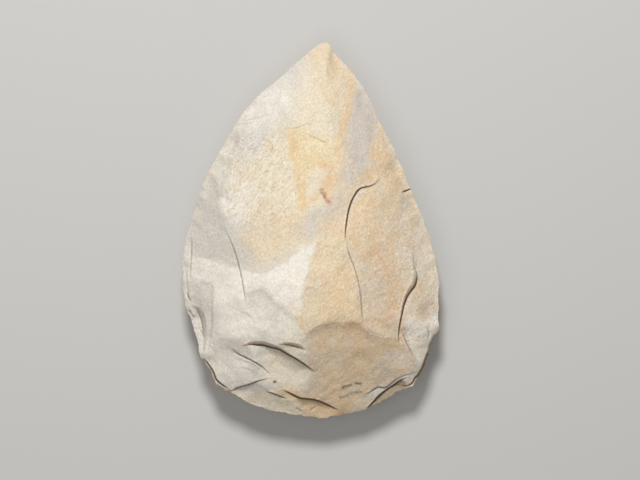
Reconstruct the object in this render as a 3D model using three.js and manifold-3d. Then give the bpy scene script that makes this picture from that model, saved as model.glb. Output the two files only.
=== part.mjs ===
// A stone hand axe: one pear-shaped biface of pale chert, flaked all over, lying on its belly.
// Millimetres, +Z up, tip towards +Y. The origin is on the ground, under the middle of the stone's box.
import * as THREE from "three";
import { mergeGeometries, mergeVertices } from "three/addons/utils/BufferGeometryUtils.js";
import Module from "manifold-3d";

// Driving sizes. The stone is a lens between two domes that meet along its cutting edge.
const CROWN_RISE = 22.5; // the upper face's crest above the edge
const BELLY_DROP = 18.5; // the lower face's deepest point below the edge
const CROWN_CREST = [new THREE.Vector2(-15, -24), new THREE.Vector2(20, -34)]; // thickest near the butt
const BELLY_CREST = [new THREE.Vector2(-9, -15), new THREE.Vector2(9, -10)]; // under the centre of mass
const CREST_STEPS = 6;
const FACE_FULLNESS = 1.85; // 1 is a cone, 2 a round dome
const REST_FLAT_DEPTH = 1.6; // how much of the belly's lowest point the resting flat takes off

// The edge runs up and down a little round the stone, as it does where flakes come off both faces in turn.
const EDGE_SWAY = 1.3;
const EDGE_SWAY_LENGTH = 17;
const SCALLOP_PITCH = 9.4; // one small retouch scar after another along the edge
const SCALLOP_BITE = 0.7;
const RIM_FADE = 3; // a scar's depth dies out over this distance as it reaches the edge

// The mesh: each face is a square grid drawn out to the outline.
const GRID_CELLS = 44;
const RIM_SAMPLES = 1440;
const GRID_HUB = new THREE.Vector2(1, -6);

// The outline from above, anticlockwise from its widest point on the right.
const OUTLINE = [
  [51.5, -22], [50, -11], [46, 3], [41, 14.5], [38.8, 20], [34, 31.5], [27.2, 44.5], [22.2, 55],
  [16.2, 64.4], [10.6, 70.8], [7.6, 75], [3, 74.2], [-2, 71.4], [-9, 64.2], [-20, 55.2], [-28, 46],
  [-33.4, 37], [-40, 25.6], [-44.6, 15.5], [-47.2, 5], [-51.2, -8], [-51.3, -25], [-48.2, -35.5],
  [-45.2, -44], [-43.8, -51], [-38.2, -60], [-27.6, -67.6], [-14, -72.4], [4, -75.2], [21, -71.6],
  [35.5, -64.6], [44.8, -55], [47.4, -46], [51.6, -37],
];

// Flake scars of the upper face: where, reach along the blow, spread across it, the blow's heading in degrees
// from +X, and depth. A crisp scar ends in an arris, and a soft one fades into the face.
const scar = (x, y, reach, spread, heading, depth, soft = false) =>
  ({ x, y, reach, spread, turn: THREE.MathUtils.degToRad(heading), depth, soft });
const CROWN_SCARS = [
  scar(14, -54, 19, 21, 90, 2.6), // the broad fan struck from the butt
  scar(32, -57, 15.5, 15, 115, 2.2),
  scar(28.5, -11, 31, 13.5, 92, 1.5), // the long blade scar down the right side
  scar(48, -22, 31, 8.5, 95, 1.6),
  scar(37, 28, 26, 9, 118, 0.9),
  scar(21, 37, 27, 9.5, 110, 1.1),
  scar(12, 63, 10, 7, 235, 0.9),
  scar(-4, 61, 12, 9, 320, 0.8),
  scar(-22, 43, 19, 14, 310, 0.9),
  scar(-44, 5, 29, 9.5, 95, 1.2),
  scar(-38, -15, 19, 12, 10, 1.3),
  scar(-19, -38, 16, 18, 60, 1.7),
  scar(-12, -55, 11, 15, 75, 2.4),
  scar(-33, -54, 12, 13, 50, 1.9),
  scar(-24, -67, 6, 12, 65, 1.4),
  scar(2, -71, 5, 15, 88, 1.3),
  scar(-46, -38, 13, 5, 95, 1.5),
  scar(-8, 22, 24, 15, 90, 0.8, true),
  scar(12, 6, 20, 12, 60, 0.7, true),
  scar(-12, -8, 16, 14, 20, 0.5, true),
];

// The lower face is worked in two rings of scars, struck inwards from the edge all the way round.
const BELLY_RINGS = [
  { count: 13, out: 0.8, reach: 15, spread: 12, depth: 1.9 },
  { count: 7, out: 0.5, reach: 22, spread: 15, depth: 1.3 },
];
const BELLY_START = 0.37; // radians, where the first scar of a ring is struck
const BELLY_VARY = 0.22; // the share by which neighbouring scars differ

// ---- The outline ----

const rimCurve = new THREE.CatmullRomCurve3(
  OUTLINE.map(([x, y]) => new THREE.Vector3(x, y, 0)), true, "catmullrom", 0.5);
rimCurve.arcLengthDivisions = RIM_SAMPLES;
const rimLength = rimCurve.getLength();

// A point of the edge as it was before its small retouch scars, from its share of the way round.
function wholeRimPoint(share) {
  const at = rimCurve.getPointAt(((share % 1) + 1) % 1);
  return new THREE.Vector2(at.x, at.y);
}

// The same point, bitten back by the retouch scars.
function rimPoint(share) {
  const point = wholeRimPoint(share);
  const along = share * rimLength;
  const bites = Math.round(rimLength / SCALLOP_PITCH);
  const strength = 0.55 + 0.45 * Math.sin(along / 31 + 1);
  const bite = SCALLOP_BITE * strength * Math.abs(Math.sin(Math.PI * bites * share));
  return point.sub(GRID_HUB).multiplyScalar(1 - bite / point.length()).add(GRID_HUB);
}

const WHOLE_RIM = Array.from({ length: RIM_SAMPLES }, (_, i) => wholeRimPoint(i / RIM_SAMPLES));
const RIM = Array.from({ length: RIM_SAMPLES }, (_, i) => rimPoint(i / RIM_SAMPLES));

function rimAt(share) {
  const place = (((share % 1) + 1) % 1) * RIM_SAMPLES;
  const i = Math.floor(place);
  return RIM[i % RIM_SAMPLES].clone().lerp(RIM[(i + 1) % RIM_SAMPLES], place - i);
}

// The distance from a crest to the whole edge in each direction, as a function of the direction.
function reachFrom(crest) {
  const seen = WHOLE_RIM.map((p) => p.clone().sub(crest))
    .map((p) => ({ angle: Math.atan2(p.y, p.x), far: p.length() }))
    .sort((a, b) => a.angle - b.angle);
  const first = seen[0];
  const last = seen[seen.length - 1];
  const table = [
    { angle: last.angle - 2 * Math.PI, far: last.far }, ...seen,
    { angle: first.angle + 2 * Math.PI, far: first.far },
  ];
  return (angle) => {
    let low = 0;
    let high = table.length - 1;
    while (high - low > 1) {
      const middle = (low + high) >> 1;
      if (table[middle].angle <= angle) low = middle;
      else high = middle;
    }
    const { angle: a, far: from } = table[low];
    const { angle: b, far: to } = table[high];
    return from + ((to - from) * (angle - a)) / (b - a);
  };
}

// ---- The two faces ----

// The height of the sheet midway between the faces, which the edge follows.
const swayAt = (x, y) =>
  EDGE_SWAY * Math.sin(x / EDGE_SWAY_LENGTH + 0.6) * Math.cos(y / (1.4 * EDGE_SWAY_LENGTH) - 0.3);

// Scar outlines wander a little, so the places they are measured at are drawn aside by slow waves.
const wander = (x, y) => [
  x + 1.1 * Math.sin(y / 6.1 + 0.8) + 0.6 * Math.sin((x + y) / 3.7),
  y + 1.1 * Math.sin(x / 5.3 + 2.1) + 0.6 * Math.sin((x - y) / 4.3 + 1),
];

// How deep the deepest crisp scar is at a point, with the soft hollows added to it.
function scarDepth(scars, x, y) {
  const [wx, wy] = wander(x, y);
  let crisp = 0;
  let hollow = 0;
  for (const { x: sx, y: sy, reach, spread, turn, depth, soft } of scars) {
    const along = (wx - sx) * Math.cos(turn) + (wy - sy) * Math.sin(turn);
    const across = (wy - sy) * Math.cos(turn) - (wx - sx) * Math.sin(turn);
    const inside = 1 - (along / reach) ** 2 - (across / spread) ** 2;
    if (inside <= 0) continue;
    if (soft) hollow += depth * inside ** 2;
    else crisp = Math.max(crisp, depth * inside);
  }
  return crisp + hollow;
}

// One face: its height above the edge is the mean of several domes whose peaks stand side by side along the
// crest, so that no keel runs out to the tip, less the scars.
function face([start, end], rise, scars) {
  const domes = Array.from({ length: CREST_STEPS }, (_, i) => {
    const peak = start.clone().lerp(end, i / (CREST_STEPS - 1));
    return { peak, reach: reachFrom(peak) };
  });
  return (x, y) => {
    let height = 0;
    let room = Infinity;
    for (const { peak, reach } of domes) {
      const away = Math.hypot(x - peak.x, y - peak.y);
      const far = reach(Math.atan2(y - peak.y, x - peak.x));
      height += (rise / CREST_STEPS) * (1 - Math.min(away / far, 1) ** FACE_FULLNESS);
      room = Math.min(room, far - away);
    }
    const fade = 1 - Math.exp(-Math.max(room, 0) / RIM_FADE);
    return height - fade * scarDepth(scars, x, y);
  };
}

function bellyScars() {
  const middle = BELLY_CREST[0].clone().lerp(BELLY_CREST[1], 0.5);
  const reach = reachFrom(middle);
  return BELLY_RINGS.flatMap(({ count, out, reach: long, spread, depth }) =>
    Array.from({ length: count }, (_, i) => {
      const vary = 1 + BELLY_VARY * Math.sin(2.4 * i + count);
      const angle = ((BELLY_START + (i * 2 * Math.PI) / count + Math.PI) % (2 * Math.PI)) - Math.PI;
      const away = out * reach(angle) * (1 - 0.3 * (vary - 1));
      const x = middle.x + away * Math.cos(angle);
      const y = middle.y + away * Math.sin(angle);
      return scar(x, y, long * vary, spread / vary, THREE.MathUtils.radToDeg(angle), depth * vary);
    }));
}

// A corner of the square grid, drawn out to its place within the outline.
function drawnOut(a, b) {
  const wide = Math.abs(a) > Math.abs(b);
  const size = wide ? a : b;
  if (size === 0) return GRID_HUB.clone();
  const angle = wide ? (Math.PI / 4) * (b / a) : Math.PI / 2 - (Math.PI / 4) * (a / b);
  const share = (size < 0 ? angle + Math.PI : angle) / (2 * Math.PI);
  return GRID_HUB.clone().lerp(rimAt(share), Math.abs(size));
}

// One sheet of the mesh. sign is 1 for the upper face and -1 for the lower.
function sheet(heightAt, sign) {
  const plane = new THREE.PlaneGeometry(2, 2, GRID_CELLS, GRID_CELLS);
  const at = plane.getAttribute("position");
  for (let i = 0; i < at.count; i++) {
    const onRim = Math.max(Math.abs(at.getX(i)), Math.abs(at.getY(i))) > 1 - 1e-6;
    const { x, y } = drawnOut(at.getX(i), at.getY(i));
    at.setXYZ(i, x, y, swayAt(x, y) + (onRim ? 0 : sign * heightAt(x, y)));
  }
  plane.setIndex(splitAlongArrises(at, sign));
  return plane.deleteAttribute("normal").deleteAttribute("uv");
}

// Each grid cell is cut along the diagonal that stands further out, as an arris would run.
function splitAlongArrises(at, sign) {
  const index = [];
  const row = GRID_CELLS + 1;
  for (let j = 0; j < GRID_CELLS; j++) {
    for (let i = 0; i < GRID_CELLS; i++) {
      const [nw, ne, sw, se] = [j * row + i, j * row + i + 1, (j + 1) * row + i, (j + 1) * row + i + 1];
      const rising = at.getZ(sw) + at.getZ(ne) > at.getZ(nw) + at.getZ(se);
      const turned = rising === sign > 0 ? [[nw, sw, ne], [sw, se, ne]] : [[nw, sw, se], [nw, se, ne]];
      for (const [a, b, c] of turned) index.push(...(sign > 0 ? [a, b, c] : [a, c, b]));
    }
  }
  return index;
}

// ---- The stone ----

const wasm = await Module();
wasm.setup();

function solidOf(geometry) {
  const closed = mergeVertices(geometry, 1e-4);
  return new wasm.Manifold(new wasm.Mesh({
    numProp: 3,
    vertProperties: closed.getAttribute("position").array,
    triVerts: new Uint32Array(closed.index.array),
  }));
}

function geometryOf(solid) {
  const { vertProperties, triVerts } = solid.getMesh();
  const geometry = new THREE.BufferGeometry();
  geometry.setAttribute("position", new THREE.BufferAttribute(vertProperties, 3));
  geometry.setIndex(new THREE.BufferAttribute(triVerts, 1));
  return geometry;
}

// Everything below the resting plane, to be taken off the belly.
function groundBelow(height) {
  const size = 200;
  const block = new THREE.BoxGeometry(size, size, size).translate(0, 0, height - size / 2);
  return block.deleteAttribute("normal").deleteAttribute("uv");
}

function buildStone() {
  const crown = sheet(face(CROWN_CREST, CROWN_RISE, CROWN_SCARS), 1);
  const belly = sheet(face(BELLY_CREST, BELLY_DROP, bellyScars()), -1);
  belly.computeBoundingBox();
  const restHeight = belly.boundingBox.min.z + REST_FLAT_DEPTH;
  const blank = solidOf(mergeGeometries([crown, belly]));
  const stone = geometryOf(blank.subtract(solidOf(groundBelow(restHeight))));
  stone.computeBoundingBox();
  const { min, max } = stone.boundingBox;
  return stone.translate(-(min.x + max.x) / 2, -(min.y + max.y) / 2, -min.z);
}

const chert = new THREE.MeshStandardMaterial({ color: 0xe0d2b8, roughness: 0.8, metalness: 0 });
const handAxe = new THREE.Mesh(buildStone(), chert);
handAxe.name = "hand_axe";

const part = new THREE.Group();
part.add(handAxe);

export default part;
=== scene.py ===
"""The look of a stone hand axe: a pear-shaped biface of pale stained chert, flaked over both faces.

The stone is cut as a flat slab to its outline, its mesh is made finer where the surface is busy, and then
the slab is raised into its two faces and flaked. Sizes are in millimetres until the finished stone is
brought to metres. The tip points towards +Y, and places are as seen from above.
"""
import logging
import math
from dataclasses import dataclass, field
from enum import Enum
from typing import Callable, ClassVar

import bpy
import numpy as np
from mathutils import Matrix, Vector, noise


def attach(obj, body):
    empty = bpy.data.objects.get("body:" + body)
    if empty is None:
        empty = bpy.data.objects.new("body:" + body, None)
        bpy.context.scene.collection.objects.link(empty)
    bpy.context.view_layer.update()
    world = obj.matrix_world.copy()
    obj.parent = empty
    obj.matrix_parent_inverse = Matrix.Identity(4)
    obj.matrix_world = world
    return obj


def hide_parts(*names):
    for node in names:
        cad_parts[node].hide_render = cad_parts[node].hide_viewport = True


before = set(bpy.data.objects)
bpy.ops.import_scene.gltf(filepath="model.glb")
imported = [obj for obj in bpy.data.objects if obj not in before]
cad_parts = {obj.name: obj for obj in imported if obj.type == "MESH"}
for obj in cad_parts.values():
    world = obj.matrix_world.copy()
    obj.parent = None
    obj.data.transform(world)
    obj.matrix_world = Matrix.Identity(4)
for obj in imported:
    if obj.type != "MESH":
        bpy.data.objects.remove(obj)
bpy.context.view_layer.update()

log = logging.getLogger("hand_axe")

Pair = tuple[float, float]  # a range, a size and a depth, or two of anything
Place = Pair
Route = tuple[Place, ...]
Triple = tuple[float, float, float]
Colour = Triple
Socket = bpy.types.NodeSocket
Places = np.ndarray  # an (n, 2) array of places seen from above
Values = np.ndarray  # one number for each place
Choice = np.ndarray  # a yes or no for each place

METRES = 0.001  # one millimetre, in metres
SLAB = 1.0  # half the thickness of the flat slab that the stone is raised from


# ---- Curves and noise ----

SPAN_STEPS = 60  # steps in which each span of a curve is drawn
PLATE_SLOPE = 0.2  # the share of a plate's height over which its edge rises


def smooth_step(values: Values) -> Values:
    """Eases values from 0 to 1, and holds them there outside that range."""
    held = np.clip(values, 0.0, 1.0)
    return held * held * (3.0 - 2.0 * held)


def drawn_through(route: Route, spacing: float, closed: bool = False) -> Places:
    """Draws a smooth curve through the points of a route.

    Args:
        route: The points, in order.
        spacing: The distance between the places that are returned.
        closed: Whether the curve comes back to its first point.

    Returns:
        Evenly spaced places along the curve. A closed curve's first place isn't repeated.
    """
    points = np.array(route, float)
    if closed:
        held = np.vstack([points[-1], points, points[0], points[1]])
    else:
        held = np.vstack([2 * points[0] - points[1], points, 2 * points[-1] - points[-2]])
    share = np.linspace(0, 1, SPAN_STEPS, endpoint=False)[:, None]
    spans = []
    for before, start, end, after in zip(held, held[1:], held[2:], held[3:]):
        leave, arrive = 0.5 * (end - before), 0.5 * (after - start)
        spans.append(start + share * leave
                     + share ** 2 * (3 * (end - start) - 2 * leave - arrive)
                     + share ** 3 * (2 * (start - end) + leave + arrive))
    curve = np.vstack(spans + [held[-2:-1]])
    gone = np.concatenate([[0], np.cumsum(np.hypot(*np.diff(curve, axis=0).T))])
    count = max(round(gone[-1] / spacing), 2)
    at = np.linspace(0, gone[-1], count + (not closed), endpoint=not closed)
    return np.column_stack([np.interp(at, gone, curve[:, 0]), np.interp(at, gone, curve[:, 1])])


def lumps(places: Places, size: float, octaves: int, seed: float) -> Values:
    """Fractal noise at each place.

    Args:
        places: Where it is wanted.
        size: The size of its largest lumps.
        octaves: How many finer layers it has.
        seed: Another number gives another noise.

    Returns:
        Values of about -1 to 1.
    """
    return np.array([noise.fractal(Vector((x, y, seed)), 1.0, 2.0, octaves) for x, y in places / size])


def dimples(places: Places, size: float, seed: float) -> Values:
    """Small dishes that meet in sharp ridges: 0 at their middles, up to 1 on the ridges."""
    return np.array([noise.voronoi(Vector((x, y, seed)))[0][0] ** 2 for x, y in places / size])


def plates(places: Places, size: float, levels: int, seed: float) -> Values:
    """Thin broken plates: fractal noise cut into steps.

    Args:
        places: Where they are wanted.
        size: The size of the largest ones.
        levels: How many steps there are.
        seed: Another number gives other plates.

    Returns:
        Their height at each place, from about 0 to 1.
    """
    level = levels * (0.5 + 0.5 * lumps(places, size, 3, seed))
    whole = np.floor(level)
    return (whole + smooth_step((level - whole - 1 + PLATE_SLOPE) / PLATE_SLOPE)) / levels


def wandered(places: Places, far: float, size: float, octaves: int, seeds: Pair) -> Places:
    """The places moved about by noise, which makes a drawn border ragged.

    Args:
        places: The places.
        far: How far they are moved.
        size: The size of the noise's lumps.
        octaves: How many finer layers the noise has.
        seeds: One for each axis.

    Returns:
        The moved places.
    """
    return places + far * np.column_stack([lumps(places, size, octaves, seed) for seed in seeds])


def turned(places: Places, degrees: float) -> Places:
    """Turns the axes by an angle, so that the first one runs along it.

    Args:
        places: The places.
        degrees: The angle.

    Returns:
        The places in the turned axes.
    """
    cos, sin = math.cos(math.radians(degrees)), math.sin(math.radians(degrees))
    x, y = places.T
    return np.column_stack([x * cos + y * sin, y * cos - x * sin])


# ---- The outline ----

@dataclass
class Outline:
    """The stone's edge, as seen from above.

    Small retouch scars bite into it all round, deeper on some stretches than on others, and crumbs have come
    off it, more so round the butt.
    """

    points: Route = (
        (51.5, -21), (50, -11), (46, 3), (41, 14.5), (38.8, 20), (34, 31.5), (27.2, 44.5), (22.4, 55),
        (16.7, 63.2), (11.6, 69), (9, 71.6), (8, 73.8), (7, 75.1), (5.5, 75.2), (3.4, 74.6), (-0.4, 71.6),
        (-6, 67), (-12.6, 60.8), (-20.4, 54.5), (-28, 46), (-33.4, 37), (-40, 25.6), (-44.6, 15.5),
        (-47.6, 5), (-51.3, -8), (-51.5, -20), (-50.4, -30), (-48, -36), (-45.5, -44), (-44.5, -49.3),
        (-42.4, -52.9), (-40.1, -56), (-38.8, -60), (-36.7, -62.4), (-33, -64.7), (-27.6, -67.4),
        (-22.6, -69.8), (-14, -72.4), (4, -75.1), (12, -73.9), (21.3, -72), (29.4, -68.1), (37, -63.7),
        (41.5, -61.9), (44.1, -57.3), (46.8, -51), (47.8, -45.6), (51.4, -39), (51.3, -30),
    )
    hub: Place = (1.0, -6.0)
    spacing: float = 0.15
    bite_pitch: float = 9.4
    bite_depth: float = 0.45
    evenness: float = 0.55
    stretch_length: float = 31.0
    crumb_size: float = 2.8
    crumb_depth: float = 1.0
    least_crumbly: float = 0.4
    crumbly_from: float = -20.0
    crumbly_within: float = 40.0
    spare: float = 0.15

    def __post_init__(self) -> None:
        """Draws the edge once, whole and as the small retouch scars leave it."""
        self.whole = drawn_through(self.points, self.spacing, closed=True)
        self.length = len(self.whole) * self.spacing
        self.bites = round(self.length / self.bite_pitch)
        self.bitten = self._bitten()

    def _bitten(self) -> Places:
        """Brings the edge in by its retouch scars and by the crumbs that have come off it.

        Returns:
            The edge as they leave it.
        """
        share = np.arange(len(self.whole)) / len(self.whole)
        stretches = np.sin(share * self.length / self.stretch_length + 1)
        strength = self.evenness + (1 - self.evenness) * stretches
        depth = self.bite_depth * strength * np.abs(np.sin(math.pi * self.bites * share))
        crumbs = lumps(self.whole, self.crumb_size, 4, 3.7)
        butt = smooth_step((self.crumbly_from - self.whole[:, 1]) / self.crumbly_within)
        crumbly = self.least_crumbly + (1 - self.least_crumbly) * butt
        depth += self.crumb_depth * crumbly * np.clip(np.abs(crumbs), 0, 1)
        out = self.whole - self.hub
        return out * (1 - (depth - self.spare) / np.hypot(*out.T))[:, None] + self.hub

    def reach(self, start: Places, places: Places) -> tuple[Values, Values]:
        """Measures outwards from a start, through each place, to the edge.

        Args:
            start: Where it is measured from.
            places: The places.

        Returns:
            How far each place is from the start, and how far the edge is in the same direction.
        """
        seen = self.whole - start
        angle = np.arctan2(seen[:, 1], seen[:, 0])
        order = np.argsort(angle)
        across = places - start
        far = np.interp(np.arctan2(across[:, 1], across[:, 0]), angle[order],
                        np.hypot(*seen[order].T), period=2 * math.pi)
        return np.hypot(*across.T), far

    def drawn_out(self, square: Places) -> Places:
        """Draws a square of side 2 out to the outline, its rim to the edge and its rings with it.

        Args:
            square: Places in the square.

        Returns:
            The same places, drawn out.
        """
        a, b = square.T
        wide = np.abs(a) > np.abs(b)
        size = np.where(wide, a, b)
        safe = np.where(size == 0, 1, size)
        angle = np.where(wide, math.pi / 4 * b / safe, math.pi / 2 - math.pi / 4 * a / safe)
        share = np.where(size < 0, angle + math.pi, angle) / (2 * math.pi) % 1
        shares = np.arange(len(self.bitten)) / len(self.bitten)
        rim = np.column_stack([np.interp(share, shares, axis, period=1) for axis in self.bitten.T])
        return self.hub + np.abs(size)[:, None] * (rim - self.hub)

    def room(self, places: Places) -> Values:
        """How far the edge is outside each place, measured away from the hub."""
        away, far = self.reach(np.array(self.hub), places)
        return np.maximum(far - away, 0)


# ---- What the knapper's blows left ----

LONG_WAVE, SHORT_WAVE = 1.1, 0.6  # how far the long and the short waves move a scar's border


@dataclass(frozen=True)
class Scar:
    """The dish that one flake left: where it lies, how far it runs along the blow and how far to each side.

    The heading is the blow's, in degrees from +X. A soft dish has no arris round it, and one whose depth is
    less than nothing is a swelling. Faint ripples spread from the point that was struck.
    """

    x: float
    y: float
    reach: float
    spread: float
    heading: float
    depth: float
    soft: bool = False
    ripple: float = 0.05
    ripple_length: float = 3.1
    ripple_growth: float = 0.012

    def inside(self, places: Places) -> Values:
        """1 at the dish's middle, 0 at its border and less than that outside it."""
        along, across = self._along_blow(places)
        return 1 - (along / self.reach) ** 2 - (across / self.spread) ** 2

    def ripples(self, places: Places) -> Values:
        """The ripples, which lie further apart the further they are from the blow.

        Args:
            places: Where they are wanted.

        Returns:
            How deep they are at each place.
        """
        along, across = self._along_blow(places)
        gone = np.hypot(along + self.reach, across)
        return self.ripple * np.sin(2 * math.pi * gone / self.ripple_length * (1 - self.ripple_growth * gone))

    def _along_blow(self, places: Places) -> Places:
        """How far each place is from the middle along the blow, and how far across it."""
        return turned(places - (self.x, self.y), self.heading).T


def waved(places: Places) -> Places:
    """The places moved about in gentle waves, which makes the scars' arrises wander."""
    x, y = places.T
    return np.column_stack([
        x + LONG_WAVE * np.sin(y / 6.1 + 0.8) + SHORT_WAVE * np.sin((x + y) / 3.7),
        y + LONG_WAVE * np.sin(x / 5.3 + 2.1) + SHORT_WAVE * np.sin((x - y) / 4.3 + 1),
    ])


def flaked(scars: list[Scar], places: Places) -> Values:
    """Cuts the scars. The deepest crisp one counts at each place, with the soft ones added.

    Args:
        scars: The scars.
        places: Where they are wanted.

    Returns:
        How deep they cut at each place.
    """
    bent = waved(places)
    crisp, hollow, ripples = np.zeros(len(places)), np.zeros(len(places)), np.zeros(len(places))
    for scar in scars:
        inside = np.maximum(scar.inside(bent), 0)
        if scar.soft:
            hollow += scar.depth * inside ** 2
            continue
        deeper = scar.depth * inside > crisp
        crisp = np.where(deeper, scar.depth * inside, crisp)
        ripples = np.where(deeper, scar.ripples(bent) * np.sqrt(inside), ripples)
    return crisp + hollow + ripples


@dataclass(frozen=True)
class Brink:
    """A step where a flake broke off short: the ground drops to the right of the route, and rises again.

    The drops, and the walls' widths, are given at evenly spaced stations along the route. Below the wall the
    ground comes back up over the reach. The groove is cut along the wall's foot, and dark brown is painted
    there, partly for the grime that settles in it and partly as painted shade; some of it is painted on the
    wall too, as painted shade. A rounded step is steepest at its top and eases out below, as an arris does.
    The wall starts a little to the left of the route, by what is given as above.
    """

    name: str
    route: Route
    drops: tuple[float, ...]
    walls: tuple[float, ...] = (0.4,)
    reach: float = 3.0
    groove: float = 0.0
    # Dark brown painted along the wall's foot: partly settled grime, partly painted shade.
    soil: float = 0.0
    rounded: bool = False
    # The share of that dark brown painted on the wall itself, as painted shade.
    stained_wall: float = 0.5
    above: float = 0.2

    line_step: ClassVar[float] = 0.2
    wall_curve: ClassVar[float] = 1.3
    ebb_curve: ClassVar[float] = 1.7
    groove_width: ClassVar[float] = 0.3
    groove_share: ClassVar[float] = 0.7
    # The width, reach and strength of the dark brown at the foot, which is partly grime and partly painted
    # shade.
    soil_and_shade_width: ClassVar[float] = 0.34
    soil_and_shade_within: ClassVar[float] = 3.0
    soil_and_shade_gain: ClassVar[float] = 1.5
    # The pale band painted along the step's top edge: partly battered stone, partly a painted highlight.
    bruise_highlight_width: ClassVar[float] = 0.32
    bruise_highlight_within: ClassVar[float] = 2.0
    bruise_highlight_gain: ClassVar[float] = 1.4
    bruise_highlight_back: ClassVar[float] = 0.25

    def measured(self, places: Places, within: float) -> tuple[Choice, Values, Values]:
        """Measures the places that lie near the route.

        Args:
            places: All the places.
            within: How near is near.

        Returns:
            Their indices, how far each is past the wall's top, and their shares of the way along the route.
        """
        line = drawn_through(self.route, self.line_step)
        ahead = np.gradient(line, axis=0)
        ahead /= np.hypot(*ahead.T)[:, None]
        low, high = line.min(0) - within, line.max(0) + within
        near = np.flatnonzero(((places > low) & (places < high)).all(1))
        offset = places[near][:, None, :] - line[None, :, :]
        nearest = np.argmin((offset ** 2).sum(2), axis=1)
        chosen = offset[np.arange(len(near)), nearest]
        aside = chosen[:, 0] * ahead[nearest, 1] - chosen[:, 1] * ahead[nearest, 0]
        past = np.maximum(np.abs((chosen * ahead[nearest]).sum(1)) - self.line_step / 2, 0)
        aside = np.copysign(np.hypot(aside, past), aside)
        kept = np.abs(aside) < within
        return near[kept], aside[kept] + self.above, nearest[kept] / (len(line) - 1)

    def width_at(self, share: Values) -> Values:
        """How wide the wall is at shares of the way along the route."""
        return self._at_stations(self.walls, share)

    def _drop_at(self, share: Values) -> Values:
        """How deep the step is at shares of the way along the route, from nothing to nothing."""
        return self._at_stations((0.0, *self.drops, 0.0), share)

    @staticmethod
    def _at_stations(numbers: tuple[float, ...], share: Values) -> Values:
        """A number given at stations, read at shares of the way along the route."""
        return np.interp(share, np.linspace(0, 1, len(numbers)), numbers)

    @staticmethod
    def _line(away: Values, width: float) -> Values:
        """A soft line: 1 on it and fading away from it over a width."""
        return np.exp(-(away / width) ** 2)

    def lowering(self, places: Places) -> Values:
        """Lowers the stone from the wall onwards.

        Args:
            places: Where it is wanted.

        Returns:
            How far each place is lowered.
        """
        lowered = np.zeros(len(places))
        near, aside, share = self.measured(places, self.reach + max(self.walls) + self.above)
        drop, wall = self._drop_at(share), self.width_at(share)
        ebb = np.clip(1 - (aside - wall) / self.reach, 0, 1) ** self.ebb_curve
        gone = np.clip(aside / wall, 0, 1)
        profile = 1 - (1 - gone) ** 2 if self.rounded else gone ** self.wall_curve
        foot = np.minimum(drop / max(self.drops), 1) * self._line(aside - wall, self.groove_width)
        lowered[near] = drop * profile * ebb + self.groove_share * self.groove * foot
        return lowered

    def soiled_and_shaded(self, places: Places) -> Values:
        """The dark brown painted along the foot of the wall and on it: partly settled grime, partly painted
        shade.

        Args:
            places: Where it is wanted.

        Returns:
            How much of it there is at each place, from 0 to 1.
        """
        dirt_and_shade = np.zeros(len(places))
        near, aside, share = self.measured(places, self.soil_and_shade_within)
        wall = self.width_at(share)
        amount = self.soil * np.minimum(self.soil_and_shade_gain * self._drop_at(share) / max(self.drops), 1)
        on_wall = np.clip(aside / wall, 0, 1) * (aside < wall)
        dirt_and_shade[near] = amount * (self._line(aside - wall, self.soil_and_shade_width) + self.stained_wall * on_wall)
        return np.clip(dirt_and_shade, 0, 1)

    def bruised_and_highlit(self, places: Places) -> Values:
        """The pale band painted along the step's top edge: partly battered stone, partly a painted highlight
        where the edge catches the light.

        Args:
            places: Where it is wanted.

        Returns:
            How much each place is paled, from 0 to 1.
        """
        pale = np.zeros(len(places))
        near, aside, share = self.measured(places, self.bruise_highlight_within)
        crushed_and_highlit = np.minimum(self.bruise_highlight_gain * self._drop_at(share), 1)
        pale[near] = crushed_and_highlit * self._line(aside + self.bruise_highlight_back, self.bruise_highlight_width)
        return pale


# ---- Stains ----

class Tint(Enum):
    """The stone's colours, each a mask and its own linear colour. Each lies over those named before it."""

    CREAM = (0.810, 0.715, 0.545)
    LILAC = (0.650, 0.585, 0.525)
    GREY = (0.640, 0.600, 0.545)
    CHALK = (0.900, 0.850, 0.768)
    BUFF = (0.800, 0.648, 0.453)
    OCHRE = (0.820, 0.605, 0.365)
    YELLOW = (0.805, 0.632, 0.362)
    ROSE = (0.745, 0.492, 0.305)
    UMBER = (0.770, 0.572, 0.362)
    RUST = (0.500, 0.150, 0.030)
    # Painted shade under ledges, on the low left rim and along hinges, partly grime; also small smudges.
    DRAB = (0.385, 0.298, 0.205)
    SMUT = (0.060, 0.042, 0.026)

    @property
    def mask(self) -> str:
        """The name of the attribute that holds how strong the tint is at each point."""
        return self.name.lower() + "_stain"


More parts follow.
